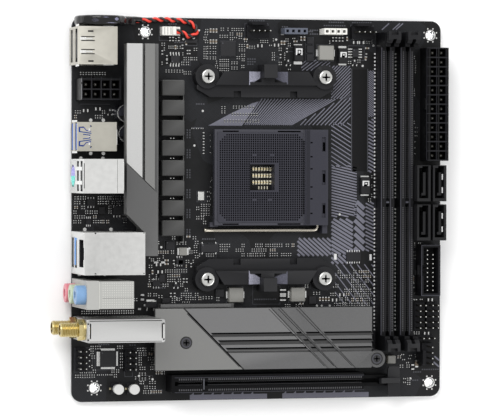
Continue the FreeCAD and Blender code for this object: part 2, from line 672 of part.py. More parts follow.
def jack(level):
    """One jack: a coloured barrel with a 3.5 mm bore, seated in the housing."""
    middle = sum(AUDIO_STACK[1]) / 2
    front = AUDIO_STACK[0][0] - JACK_REACH
    barrel = cylinder(JACK_OUTER_R, (front, middle, JACK_Z[level]), JACK_BACK - front, X_AXIS)
    edge = [e for e in barrel.Edges if e.BoundBox.XMax < front + 0.01]
    barrel = barrel.makeFillet(0.6, edge)
    return barrel.cut(cylinder(JACK_BORE_R, (front - 1, middle, JACK_Z[level]), 13.0, X_AXIS))


def wifi_cage():
    """Upright folded steel cage over the wireless card, open underneath."""
    x, y, z = CAGE
    t = 0.6
    outer = rounded_block(x, y, z, 1.0)
    hollow = box((x[0] + t, x[1] - t), (y[0] + t, y[1] - t), (z[0] - 1, z[1] - t))
    slots = [box((x[0] + 1.4, x[0] + 1.9), (y[0] + 1.8, y[1] - 1.8), (30, 40)),
             box((x[1] - 1.5, x[1] - 1.0), (y[0] + 1.8, y[1] - 1.8), (30, 40))]
    bores = [cylinder(ANTENNA_SHANK_R, (-1, ANTENNA_Y, level), 3, X_AXIS) for level in ANTENNA_Z]
    return cut(outer, [hollow] + slots + bores)


def wifi_card():
    """Wireless card standing in its socket inside the cage."""
    card = box((5.0, 33.0), (32.4, 33.2), (3.0, 25.0))
    shield = box((6.5, 20.5), (30.6, 32.4), (8.0, 22.0))
    socket = cut(box((4.4, 33.6), (30.8, 34.8), (TOP, 6.0)), [box((5.0, 33.0), (32.4, 33.2), (3.0, 7))])
    return [fuse([card, shield]), socket]


def antenna_jacks():
    """Coaxial jacks: a thread with an open mouth, and a thinner shank through the cage's wall."""
    jacks = []
    for level in ANTENNA_Z:
        start = (-ANTENNA_REACH, ANTENNA_Y, level)
        barrel = cylinder(ANTENNA_R, start, ANTENNA_REACH + NUT_FRONT, X_AXIS)
        shank = cylinder(ANTENNA_SHANK_R, (NUT_FRONT, ANTENNA_Y, level), 2.6 - NUT_FRONT, X_AXIS)
        mouth = ring(2.3, 0.65, (start[0] - 1, ANTENNA_Y, level), 5.0, X_AXIS)
        jacks.append(fuse([barrel, shank]).cut(mouth))
    return jacks


def antenna_nuts():
    """Hexagonal nut and toothed washer on each antenna jack."""
    nuts = []
    for level in ANTENNA_Z:
        axis_start = (-4, ANTENNA_Y, level)
        nut = hexagon(8.0, (NUT_FRONT, ANTENNA_Y, level), 2.1)
        washer = cylinder(4.6, (NUT_FRONT + 2.1, ANTENNA_Y, level), 0.8, X_AXIS)
        nuts.append(fuse([nut, washer]).cut(cylinder(ANTENNA_SHANK_R, axis_start, 6, X_AXIS)))
    return nuts


def vrm_heatsink():
    """Dark aluminium heatsink: a foot on the transistors, a web, and a wide overhanging top."""
    y_low, y_high = SINK_Y
    foot = box((28.4, 38.0), (72.0, y_high - 6), (4.1, 6.0))
    web = box((28.4, SINK_RIGHT), (y_low, y_high), (4.1, 22.4))
    low_edge = [(SINK_LEFT, 83.2), (27.9, 75.1), (27.9, y_low)]
    slab = plate([(SINK_LEFT, y_high)] + low_edge + [(34.4, y_low), (34.4, y_high)], (18.6, 22.4))
    raised = plate([(SINK_LEFT, LIGHT_END_LEFT - 0.4)] + low_edge
                   + [(SINK_RIGHT, y_low), (SINK_RIGHT, LIGHT_END_RIGHT - 0.4)], (22.4, SINK_TOP))
    return fuse([foot, web, slab, raised])


def vrm_fin_cover():
    """Light aluminium bars on top of the heatsink, cut off on the slant."""
    slope = (LIGHT_END_LEFT - LIGHT_END_RIGHT) / (SINK_RIGHT - SINK_LEFT)
    bars = []
    for left, right in ((SINK_LEFT, 26.7), (27.9, 32.3)):
        outline = [(left, SINK_Y[1]), (left, LIGHT_END_LEFT - slope * (left - SINK_LEFT)),
                   (right, LIGHT_END_LEFT - slope * (right - SINK_LEFT)), (right, SINK_Y[1])]
        bars.append(plate(outline, (22.4, SINK_TOP)))
    return bars


def vrm_mosfets():
    """Power transistors beside the chokes, under the heatsink's foot."""
    return [box((30.6, 36.6), (y, y + 5.0), (TOP, 3.1)) for y in choke_rows()]


def choke_rows():
    return [CHOKE_FIRST_Y + i * CHOKE_PITCH for i in range(8)]


def square_choke(x, y, size, top, edge_r):
    block = rounded_block((x, x + size[0]), (y, y + size[1]), (TOP, top), edge_r)
    rim = [e for e in block.Edges if abs(e.BoundBox.ZMin - top) < 0.01]
    return block.makeChamfer(0.3, rim)


def vrm_chokes():
    sx, sy, sz = CHOKE_SIZE
    return [square_choke(CHOKE_X, y, (sx, sy), TOP + sz, 0.6) for y in choke_rows()]


def small_chokes():
    places = (((112.1, 151.8), (7.0, 6.6)), ((70.6, 43.5), (6.8, 6.6)), ((99.2, 43.5), (6.7, 6.5)),
              ((144.5, 15.2), (3.8, 3.7)))
    return [square_choke(x, y, size, 4.6, 0.5) for (x, y), size in places]


def can_capacitor(x, y, radius, top):
    """Aluminium can with a grooved base, on a short seat."""
    can = cylinder(radius, (x, y, TOP), top - TOP)
    rim = [e for e in can.Edges if abs(e.BoundBox.ZMin - top) < 0.01]
    can = can.makeFillet(0.5, rim)
    groove = ring(radius + 1, radius - 0.35, (x, y, TOP + 1.3), 0.9)
    return can.cut(groove)


def bulk_capacitors():
    return [can_capacitor(x, y, 4.0, 10.4) for x, y in ((22.4, 127.4), (22.9, 118.4))]


def surface_capacitors():
    """Moulded polymer capacitors, and two small audio cans on square seats."""
    blocks = []
    for x, y in (((100.7, 105.0), (151.2, 158.4)), ((121.4, 125.6), (150.4, 157.3)),
                 ((131.8, 136.4), (91.6, 99.4))):
        lid = box(x, y, (TOP, 4.4))
        blocks.append(lid.makeChamfer(0.3, [e for e in lid.Edges if abs(e.BoundBox.ZMin - 4.4) < 0.01]))
    for x, y in ((20.1, 5.7), (27.2, 5.6)):
        seat = box((x - 2.3, x + 2.3), (y - 2.3, y + 2.3), (TOP, 2.4))
        blocks.append(fuse([seat, cylinder(2.1, (x, y, 2.3), 5.1)]))
    return blocks


def chipset():
    substrate = box((52.6, 70.6), (17.6, 35.6), (TOP, 2.6))
    die = box((57.0, 66.0), (22.0, 31.0), (2.6, 3.3))
    return fuse([substrate, die])


def chipset_heatsink():
    """Flat block on the chipset, under the drive, with a tall rim that shows past the cover."""
    base = box((38.2, 72.6), (15.8, 43.2), (3.3, 5.8))
    rim = box((38.2, 70.2), (41.7, 43.2), (5.7, 10.4))
    relief = cylinder(3.0, M2_SCREW_LEFT + (0,), 20)
    return fuse([base, rim]).cut(relief)


def m2_cover():
    """Aluminium cover over the drive bay, grooved lengthwise and across on the slant."""
    y_low, y_high = 14.2, 41.4
    outline = [(35.2, y_low), (134.0, y_low), (134.4, y_low + 0.4), (134.4, y_high), (35.2, y_high)]
    body = plate(outline, (COVER_BOTTOM, COVER_TOP))
    lobe = cylinder(3.9, M2_SCREW_RIGHT + (COVER_BOTTOM,), COVER_TOP - COVER_BOTTOM)
    body = fuse([body, lobe])
    # the left third stands a little lower, beyond the slanted step
    step = plate([(30, 10), (79.3, 10), (44.4, 45), (30, 45)], (COVER_TOP - 0.35, 20))
    seam = plate([(78.9, 10), (79.7, 10), (44.9, 45), (44.1, 45)], (COVER_TOP - 1.2, 20))
    cuts = [step, seam]
    for y in (29.2, 25.6, 22.0):
        start = 75.4 - (y - y_low)
        cuts.append(box((start, 140), (y - 0.45, y + 0.45), (COVER_TOP - 0.8, 20)))
    for x in (86.4, 90.6, 99.1):
        slant = [(x, y_high + 1), (x + 28.2, y_low - 1), (x + 28.8, y_low - 1), (x + 0.6, y_high + 1)]
        cuts.append(plate(slant, (COVER_TOP - 0.5, 20)))
    for x, y in (M2_SCREW_LEFT, M2_SCREW_RIGHT):
        cuts.append(cylinder(2.75, (x, y, COVER_TOP - 1.3), 10))
        cuts.append(cylinder(1.1, (x, y, 0), 30))
    return cut(body, cuts)


def cover_screws():
    """The cover's two screws, with crossed recesses."""
    seat = COVER_TOP - 1.3
    screws = []
    for x, y in (M2_SCREW_LEFT, M2_SCREW_RIGHT):
        head = cylinder(2.6, (x, y, seat), 1.2)
        shank = cylinder(1.0, (x, y, 8.6), seat - 8.5)
        cross = [box((x - a, x + a), (y - b, y + b), (12.8, 14)) for a, b in ((1.4, 0.3), (0.3, 1.4))]
        screws.append(cut(fuse([head, shank]), cross))
    return screws


def m2_standoffs():
    """Stand-offs under the cover's screws: the left one has a step for the end of the drive."""
    left = fuse([cylinder(2.4, M2_SCREW_LEFT + (TOP,), DRIVE_Z - TOP),
                 cylinder(1.7, M2_SCREW_LEFT + (DRIVE_Z - 0.1,), COVER_BOTTOM - DRIVE_Z + 0.1)])
    right = cylinder(2.4, M2_SCREW_RIGHT + (TOP,), COVER_BOTTOM - TOP)
    return [part.cut(cylinder(1.05, screw + (8.4,), 5))
            for part, screw in ((left, M2_SCREW_LEFT), (right, M2_SCREW_RIGHT))]


def m2_socket():
    """Edge socket for the drive, at the right end of the bay."""
    block = box((128.4, 134.2), (15.2, 37.4), (TOP, 9.8))
    mouth = box((127, 132.0), (16.2, 36.4), (DRIVE_Z - 0.1, DRIVE_Z + 0.9))
    return block.cut(mouth)


def thermal_pads():
    """Soft pads: one under the heatsink's foot, one under the cover for the drive."""
    return [box((29.0, 37.6), (72.0, 148.0), (3.1, 4.1)),
            box((52.0, 126.0), (16.8, 35.8), (COVER_BOTTOM - DRIVE_PAD_T, COVER_BOTTOM))]


def battery_cell():
    x, z = CELL_CENTRE
    cell = cylinder(CELL_R, (x, CELL_Y[0], z), CELL_Y[1] - CELL_Y[0], Y_AXIS)
    rims = [e for e in cell.Edges if e.BoundBox.YLength < 0.01]
    cell = cell.makeFillet(1.2, rims)
    tail = profile_along_y([(x + 4, 2.0), (27.6, 2.0), (27.6, 5.6), (x + 8, 12.0)], (166.6, 169.6))
    return fuse([cell, tail])


def white_sockets():
    """The lighting socket and the battery socket, in the same white plastic."""
    lighting = lighting_sockets((113.0, 123.6), (163.2, 165.9), 10.0)
    battery = box(BATTERY_HEADER[0], BATTERY_HEADER[1], (TOP, 6.6))
    floor = box((44.2, 48.6), BATTERY_HEADER[1], (TOP, 2.6))
    return [lighting, fuse([battery, floor])]


def battery_plug():
    """Plug: a tall grip at the left, and a low tongue under the wires at the right."""
    (x0, x1), y = BATTERY_PLUG
    grip = box((x0, LEAD_ROUTE[-1][0]), y, (2.6, 7.4))
    grip = grip.makeChamfer(0.3, [e for e in grip.Edges if abs(e.BoundBox.ZMin - 7.4) < 0.01])
    return fuse([grip, box((x0, x1), y, (2.6, 4.3))])


def tangent_path(route):
    """Straight runs joined by tangent arcs, each as large as its two runs allow."""
    points = [V(*p) for p in route]
    edges = []
    start = points[0]
    radii = []
    for before, corner, after in zip(points, points[1:], points[2:]):
        run_in = corner - before
        run_out = after - corner
        reach = 0.45 * min(run_in.Length, run_out.Length)
        turn = run_in.getAngle(run_out)
        radii.append(reach / math.tan(turn / 2))
        run_in.normalize()
        run_out.normalize()
        arc_start = corner - run_in * reach
        arc_end = corner + run_out * reach
        bisector = run_out - run_in
        bisector.normalize()
        inset = radii[-1] * (1 / math.cos(turn / 2) - 1)
        edges.append(Part.LineSegment(start, arc_start).toShape())
        edges.append(Part.Arc(arc_start, corner + bisector * inset, arc_end).toShape())
        start = arc_end
    edges.append(Part.LineSegment(start, points[-1]).toShape())
    return Part.Wire(edges), radii


def battery_lead():
    """The twisted pair's outer tube, from the cell's tail to the plug."""
    path, radii = tangent_path(LEAD_ROUTE)
    first, second = V(*LEAD_ROUTE[0]), V(*LEAD_ROUTE[1])
    section = Part.Wire(Part.makeCircle(LEAD_R, first, second - first))
    tube = path.makePipeShell([section], True, True)
    expected = math.pi * LEAD_R ** 2 * path.Length
    print("lead radii", [round(r, 2) for r in radii], "length", round(path.Length, 1))
    print("lead volume", round(tube.Volume, 2), "expected", round(expected, 2))
    return tube


def chips():
    """Chip packages: low corner, size and height above the board."""
    packages = (((67.2, 153.3), (6.8, 6.6), 1.0), ((44.3, 150.0), (4.0, 3.2), 1.6),
                ((128.2, 153.4), (2.7, 3.7), 1.6), ((12.6, 15.4), (7.2, 7.2), 1.4),
                ((33.1, 41.5), (4.6, 2.6), 1.8), ((12.2, 83.0), (2.6, 3.2), 1.0),
                ((18.8, 83.0), (4.0, 3.6), 1.0), ((42.4, 67.2), (3.2, 3.6), 1.0),
                ((48.3, 64.6), (3.4, 3.4), 1.0), ((56.8, 89.0), (3.0, 3.9), 1.0))
    solids = []
    for (x, y), (sx, sy), height in packages:
        solids.append(box((x, x + sx), (y, y + sy), (TOP, TOP + height)))
    return solids


def main():
    os.makedirs("parts", exist_ok=True)
    upper_bracket = cooler_bracket()
    dual_openings, dual_tongues = usb_ports(sum(USB_DUAL_STACK[1]) / 2, USB_DUAL_LEVELS)
    ps2_openings, ps2_tongues = usb_ports(sum(PS2_STACK[1]) / 2, PS2_USB_LEVELS)
    lan_openings, lan_tongues = usb_ports(sum(LAN_STACK[1]) / 2, LAN_USB_LEVELS)
    nodes = {
        "circuit_board": circuit_board(),
        "cpu_backplate": cpu_backplate(),
        "cooler_bracket_upper": upper_bracket,
        "cooler_bracket_lower": mirrored(upper_bracket, COOLER_CENTRE[1]),
        "bracket_screws": bracket_screws(),
        "socket_base": socket_base(),
        "socket_cover": socket_cover(),
        "socket_lever": socket_lever(),
        "pcie_slot": pcie_slot(),
        "pcie_latch": pcie_latch(),
        "atx_power_header": atx_power_header(),
        "cpu_power_header": cpu_power_header(),
        "power_pins": power_pins(),
        "sata_ports": [sata_block(71.0), sata_block(88.6)],
        "usb3_header": usb3_header(),
        "header_bases": header_bases(),
        "header_pins": header_pins(),
        "fan_headers": fan_headers(),
        "addressable_header": lighting_sockets((95.0, 105.6), (163.2, 165.9), 9.0),
        "white_sockets": white_sockets(),
        "display_shell": display_shell(),
        "display_insert": port_insert(DISPLAY_STACK, DISPLAY_OPENINGS, 10.0, DISPLAY_TONGUES),
        "usb_dual_shell": usb_dual_shell(dual_openings),
        "usb_dual_insert": port_insert(USB_DUAL_STACK, dual_openings, 11.0, dual_tongues),
        "ps2_usb_shell": ps2_shell(ps2_openings),
        "ps2_usb_insert": ps2_insert(ps2_openings, ps2_tongues),
        "ps2_socket": ps2_socket(),
        "lan_usb_shell": lan_shell(lan_openings),
        "lan_usb_insert": lan_insert(lan_openings, lan_tongues),
        "audio_block": audio_block(),
        "mic_jack": jack(0),
        "line_out_jack": jack(1),
        "line_in_jack": jack(2),
        "wifi_cage": wifi_cage(),
        "wifi_card": wifi_card(),
        "antenna_jacks": antenna_jacks(),
        "antenna_nuts": antenna_nuts(),
        "vrm_heatsink": vrm_heatsink(),
        "vrm_fin_cover": vrm_fin_cover(),
        "thermal_pads": thermal_pads(),
        "vrm_mosfets": vrm_mosfets(),
        "vrm_chokes": vrm_chokes(),
        "bulk_capacitors": bulk_capacitors(),
        "small_chokes": small_chokes(),
        "surface_capacitors": surface_capacitors(),
        "chipset_heatsink": chipset_heatsink(),
        "m2_cover": m2_cover(),
        "m2_cover_screws": cover_screws(),
        "m2_standoffs": m2_standoffs(),
        "m2_socket": m2_socket(),
        "battery_cell": battery_cell(),
        "battery_plug": battery_plug(),
        "battery_lead": battery_lead(),
        "chips": chips() + [chipset()],
    }
    for number, left in enumerate(DIMM_LEFT_EDGES, 1):
        nodes["dimm_slot_%d" % number] = dimm_slot(left)
        top_latch = dimm_latch_top(left)
        nodes["dimm_latch_%d_top" % number] = top_latch
        nodes["dimm_latch_%d_bottom" % number] = mirrored(top_latch, sum(DIMM_Y) / 2)
    for name, solids in nodes.items():
        export(name, solids)


main()
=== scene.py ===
import json
import math
import random

import bmesh
import bpy
from mathutils import Euler, Matrix, Vector
from mathutils.bvhtree import BVHTree

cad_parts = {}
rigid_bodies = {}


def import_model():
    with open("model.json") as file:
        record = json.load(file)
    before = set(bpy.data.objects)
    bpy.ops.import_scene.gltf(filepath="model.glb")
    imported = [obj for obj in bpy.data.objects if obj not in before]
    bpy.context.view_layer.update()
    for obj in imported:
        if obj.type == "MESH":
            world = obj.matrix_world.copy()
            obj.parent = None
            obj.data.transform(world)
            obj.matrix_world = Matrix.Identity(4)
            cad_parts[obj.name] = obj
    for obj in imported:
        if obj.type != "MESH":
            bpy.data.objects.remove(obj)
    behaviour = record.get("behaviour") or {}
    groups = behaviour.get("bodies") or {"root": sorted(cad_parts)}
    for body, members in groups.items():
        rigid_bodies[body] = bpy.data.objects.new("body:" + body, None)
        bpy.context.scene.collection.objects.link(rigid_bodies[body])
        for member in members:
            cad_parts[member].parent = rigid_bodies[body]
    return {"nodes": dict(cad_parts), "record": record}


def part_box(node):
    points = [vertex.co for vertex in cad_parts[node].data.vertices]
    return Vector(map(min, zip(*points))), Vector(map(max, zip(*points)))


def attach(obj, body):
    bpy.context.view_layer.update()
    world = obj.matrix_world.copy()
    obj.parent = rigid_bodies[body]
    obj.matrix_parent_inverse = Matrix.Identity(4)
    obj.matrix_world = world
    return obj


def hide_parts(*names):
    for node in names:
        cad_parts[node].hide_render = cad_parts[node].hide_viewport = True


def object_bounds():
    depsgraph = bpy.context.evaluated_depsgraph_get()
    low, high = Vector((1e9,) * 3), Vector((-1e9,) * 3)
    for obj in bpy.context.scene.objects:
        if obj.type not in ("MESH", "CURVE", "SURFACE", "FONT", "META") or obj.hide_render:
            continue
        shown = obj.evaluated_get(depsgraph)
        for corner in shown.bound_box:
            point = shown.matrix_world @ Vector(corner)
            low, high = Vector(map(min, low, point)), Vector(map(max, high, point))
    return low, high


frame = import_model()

# A mini-ITX motherboard dressed around its CAD parts. Places are in board coordinates, in mm: x from
# the rear-panel edge, y from the expansion-slot edge, z up from the board's underside.

MM = 0.001
BOARD_LOW, BOARD_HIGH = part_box("circuit_board")
TOP = (BOARD_HIGH.z - BOARD_LOW.z) / MM
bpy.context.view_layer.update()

CAMERA_AT = (-265.87, 105.87, 1370.16)
CAMERA_TURN = (0.86, 14.22, 0.103)
CAMERA_LENS = 227.47


def at(x, y, z):
    """A point in the row frame, in metres, from board coordinates in mm."""
    return BOARD_LOW + Vector((x, y, z)) * MM


def span(node):
    """A CAD node's (x, y, z) spans in board coordinates, in mm."""
    low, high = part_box(node)
    low, high = (low - BOARD_LOW) / MM, (high - BOARD_LOW) / MM
    return [(low[i], high[i]) for i in range(3)]


def add_object(name, data):
    obj = bpy.data.objects.new(name, data)
    bpy.context.scene.collection.objects.link(obj)
    return obj


def middle(pair):
    return (pair[0] + pair[1]) / 2


def raised(height, base=TOP):
    """The z span of something that stands on a face, sunk a little into it."""
    return base - 0.02, base + height


def grid(place):
    """Points of a cluster: (x, y), (x, y, count, step_x) or (x, y, columns, rows, step_x, step_y)."""
    if len(place) < 6:
        count, step = place[2:] or (1, 0)
        place = (*place[:2], count, 1, step, 0)
    x, y, columns, rows, step_x, step_y = place
    return [(x + i * step_x, y + j * step_y) for i in range(columns) for j in range(rows)]


# ---------------------------------------------------------------- meshes


class Shape:
    """Collects vertices, in board mm, and faces for one piece."""

    def __init__(self):
        self.points = []
        self.faces = []

    def add(self, points, faces):
        base = len(self.points)
        self.points += points
        self.faces += [tuple(base + i for i in face) for face in faces]

    def block(self, x, y, z, inset=0.0):
        """A block from its spans; inset draws the top in on all sides."""
        low = [(x[0], y[0]), (x[1], y[0]), (x[1], y[1]), (x[0], y[1])]
        high = [(x[0] + inset, y[0] + inset), (x[1] - inset, y[0] + inset),
                (x[1] - inset, y[1] - inset), (x[0] + inset, y[1] - inset)]
        points = [(a, b, z[0]) for a, b in low] + [(a, b, z[1]) for a, b in high]
        self.add(points, [(3, 2, 1, 0), (4, 5, 6, 7), (0, 1, 5, 4), (1, 2, 6, 5), (2, 3, 7, 6), (3, 0, 4, 7)])

    def pad(self, x, y, half_x, half_y, z, inset=0.0):
        """A block about its middle in plan."""
        self.block((x - half_x, x + half_x), (y - half_y, y + half_y), z, inset)

    def slab(self, x, y, width, depth, z, inset=0.0):
        """A block from its low corner in plan."""
        self.block((x, x + width), (y, y + depth), z, inset)

    def prism(self, outline, z):
        """An outline in plan, given anticlockwise, raised over a z span."""
        n = len(outline)
        points = [(x, y, z[0]) for x, y in outline] + [(x, y, z[1]) for x, y in outline]
        sides = [(i, (i + 1) % n, n + (i + 1) % n, n + i) for i in range(n)]
        self.add(points, [tuple(range(n - 1, -1, -1)), tuple(range(n, 2 * n))] + sides)

    def strip(self, start, end, width, z):
        """A straight bar between two points in plan."""
        dx, dy = end[0] - start[0], end[1] - start[1]
        length = math.hypot(dx, dy)
        nx, ny = -dy / length * width / 2, dx / length * width / 2
        self.prism([(start[0] - nx, start[1] - ny), (end[0] - nx, end[1] - ny),
                    (end[0] + nx, end[1] + ny), (start[0] + nx, start[1] + ny)], z)

    def outline(self, x, y, width, z):
        """A rectangular line drawing, as four bars."""
        for level in (y[0], y[1] - width):
            self.block(x, (level, level + width), z)
        for level in (x[0], x[1] - width):
            self.block((level, level + width), (y[0] + width, y[1] - width), z)

    def lathe(self, profile, centre, axis="z", steps=16, arc=(0.0, 360.0)):
        """A profile of (radius, distance) pairs turned about an axis through the centre."""
        closed = arc[1] - arc[0] >= 359.9
        turns = steps if closed else steps + 1
        points = []
        for i in range(turns):
            angle = math.radians(arc[0] + (arc[1] - arc[0]) * i / steps)
            c, s = math.cos(angle), math.sin(angle)
            for radius, height in profile:
                local = (radius * c, radius * s, height)
                if axis == "x":
                    local = (height, radius * c, radius * s)
                elif axis == "y":
                    local = (radius * s, height, radius * c)
                points.append(tuple(centre[k] + local[k] for k in range(3)))
        n = len(profile)
        faces = []
        for i in range(steps):
            j = (i + 1) % turns
            for k in range(n - 1):
                faces.append((i * n + k, j * n + k, j * n + k + 1, i * n + k + 1))
        self.add(points, faces)

    def disc(self, x, y, radius, z, steps=12):
        self.lathe([(0, z[0]), (radius, z[0]), (radius, z[1]), (0, z[1])], (x, y, 0), "z", steps)

    def ring(self, x, y, outer, inner, z, steps=16, arc=(0.0, 360.0)):
        self.lathe([(inner, z[0]), (outer, z[0]), (outer, z[1]), (inner, z[1]), (inner, z[0])],
                   (x, y, 0), "z", steps, arc)

    def ring_y(self, x, z, outer, inner, y, steps=16, arc=(0.0, 360.0)):
        """A ring about an axis along y."""
        self.lathe([(inner, y[0]), (outer, y[0]), (outer, y[1]), (inner, y[1]), (inner, y[0])],
                   (x, 0, z), "y", steps, arc)

    def piece(self, name, finish, slot, body="root", bevel=0.0, smooth=False):
        """Makes the object, gives it its material, and rides it on its body."""
        mesh = bpy.data.meshes.new(name)
        mesh.from_pydata([tuple(at(*p)) for p in self.points], [], self.faces)
        mesh.validate()
        mesh.update()
        piece = add_object(name, mesh)
        mesh.materials.append(finish)
        if bevel:
            add_bevel(piece, bevel)
        weld_seams(mesh)
        if smooth:
            shade(mesh)
        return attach(piece, body)


def weld_seams(mesh):
    """Joins the points that lie together, such as a lathed shape's axis."""
    work = bmesh.new()
    work.from_mesh(mesh)
    bmesh.ops.remove_doubles(work, verts=work.verts, dist=1e-7)
    bmesh.ops.recalc_face_normals(work, faces=work.faces)
    work.to_mesh(mesh)
    work.free()


def shade(mesh, angle=35.0):
    """Smooth shading with sharp edges where faces meet at more than the angle."""
    mesh.polygons.foreach_set("use_smooth", [True] * len(mesh.polygons))
    mesh.set_sharp_from_angle(angle=math.radians(angle))


def add_bevel(piece, width, segments=2):
    bevel = piece.modifiers.new("edge", "BEVEL")
    bevel.width = width * MM
    bevel.segments = segments
    bevel.limit_method = "ANGLE"
    bevel.angle_limit = math.radians(40)


# ---------------------------------------------------------------- materials


def join(material, socket, value):
    """Gives a socket a plain value, or links another node's output to it."""
    if isinstance(value, bpy.types.NodeSocket):
        material.node_tree.links.new(value, socket)
    else:
        socket.default_value = value


def add_node(material, kind, settings=None, **sockets):
    """A new shader node: settings are its properties, and sockets its inputs, with _ for a space."""
    made = material.node_tree.nodes.new("ShaderNode" + kind)
    for name, value in (settings or {}).items():
        setattr(made, name, value)
    for name, value in sockets.items():
        join(material, made.inputs[name.replace("_", " ")], value)
    return made


def mixed(material, factor, first, second):
    mix = add_node(material, "Mix", {"data_type": "RGBA"}, Factor=factor, A=first, B=second)
    return mix.outputs["Result"]


def object_place(material):
    return add_node(material, "TexCoord").outputs["Object"]


def ramp_of(material, source, low, high):
    """A two-colour ramp driven by a 0-1 source."""
    ramp = add_node(material, "ValToRGB", Fac=source)
    for element, colour in zip(ramp.color_ramp.elements, (low, high)):
        element.color = (*colour, 1)
    return ramp.outputs["Color"]


def add_relief(material, height, strength, distance):
    relief = add_node(material, "Bump", Strength=strength, Distance=distance, Height=height)
    join(material, shader_of(material).inputs["Normal"], relief.outputs["Normal"])


def shader_of(material):
    return material.node_tree.nodes["Principled BSDF"]


def recolour(material, factor, colour):
    """Mixes a second colour into a finish where the factor is 1."""
    base = shader_of(material).inputs["Base Color"]
    join(material, base, mixed(material, factor, base.links[0].from_socket, colour))


def finish(name, colour, rough=0.5, metal=0.0, spread=0.12, scale=900.0, stretch=(1, 1, 1),
           bump=0.08, wear=0.0, coat=0.0, rough_spread=0.12, specular=0.5, relief_depth=0.0001):
    """Colour and roughness that vary with fine grain, grain bump, and a painted highlight on convex edges."""
    material = bpy.data.materials.new(name)
    material.use_nodes = True
    material.diffuse_color = (*colour, 1)
    mapping = add_node(material, "Mapping", Scale=stretch, Vector=object_place(material))
    grain = add_node(material, "TexNoise", Scale=scale, Detail=4.0, Vector=mapping.outputs["Vector"])
    grain = grain.outputs["Fac"]
    tone = ramp_of(material, grain, [c * (1 - spread) for c in colour],
                   [min(1.0, c * (1 + spread)) for c in colour])
    # painted highlight: convex edges, found by pointiness, are mixed towards a lighter colour
    if wear:
        edge = add_node(material, "NewGeometry").outputs["Pointiness"]
        edge_highlight_mask = add_node(material, "MapRange", From_Min=0.52, From_Max=0.62, To_Max=wear, Value=edge)
        tone = mixed(material, edge_highlight_mask.outputs["Result"], tone, (*[min(1.0, c * 1.6 + 0.1) for c in colour], 1))
    level = add_node(material, "MapRange", To_Min=max(0.03, rough - rough_spread),
                     To_Max=min(1.0, rough + rough_spread), Value=grain)
    for socket, value in (("Metallic", metal), ("Coat Weight", coat), ("Coat Roughness", 0.08),
                          ("Specular IOR Level", specular), ("Base Color", tone),
                          ("Roughness", level.outputs["Result"])):
        join(material, shader_of(material).inputs[socket], value)
    if bump:
        add_relief(material, grain, bump, relief_depth)
    return material


def moulded(name, colour, rough=0.5, specular=0.25, **extra):
    return finish(name, colour, rough, scale=2600.0, bump=0.12, specular=specular, **extra)


def brushed(name, colour, rough=0.35, along="y", **extra):
    stretch = {"x": (0.03, 1, 1), "y": (1, 0.03, 1), "z": (1, 1, 0.03)}[along]
    return finish(name, colour, rough, metal=1.0, scale=3000.0, stretch=stretch, bump=0.05, **extra)


def solder_mask():
    """Satin black solder mask: a faint net of copper tracks and a speckle of tented vias shows through."""
    material = finish("solder_mask", (0.0065, 0.0067, 0.0073), 0.42, spread=0.25, scale=300.0, bump=0.0,
                      specular=0.2)
    place = object_place(material)
    turn = add_node(material, "Mapping", Rotation=(0, 0, math.radians(45)), Vector=place)
    tracks = add_node(material, "TexBrick", {"offset": 0.37}, Scale=420.0, Mortar_Size=0.06, Brick_Width=2.6,
                      Row_Height=0.22, Color1=(0.0060, 0.0062, 0.0070, 1), Color2=(0.0095, 0.0100, 0.0115, 1),
                      Mortar=(0.016, 0.0168, 0.0195, 1), Vector=turn.outputs["Vector"])
    cells = add_node(material, "TexVoronoi", Scale=42.0, Vector=place)
    split = add_node(material, "SeparateColor", Color=cells.outputs["Color"])
    patch = add_node(material, "Math", {"operation": "GREATER_THAN"})
    join(material, patch.inputs[0], split.outputs["Red"])
    patch.inputs[1].default_value = 0.5
    recolour(material, patch.outputs["Value"], tracks.outputs["Color"])
    add_relief(material, tracks.outputs["Fac"], 0.25, 0.00003)
    return material


def recolour_beyond(material, direction, level, colour):
    """Gives the part of a finish past a plane a second colour: two-tone moulding or anodising, or painted
    shade.
    """
    along = add_node(material, "VectorMath", {"operation": "DOT_PRODUCT"})
    join(material, along.inputs[0], object_place(material))
    along.inputs[1].default_value = direction
    beyond = add_node(material, "Math", {"operation": "GREATER_THAN"})
    join(material, beyond.inputs[0], along.outputs["Value"])
    beyond.inputs[1].default_value = level
    recolour(material, beyond.outputs["Value"], (*colour, 1))
    return material


USB_MIDDLE_Y = 117.1
PS2_MIDDLE_Y = at(0, middle(span("ps2_socket")[1]), 0).y

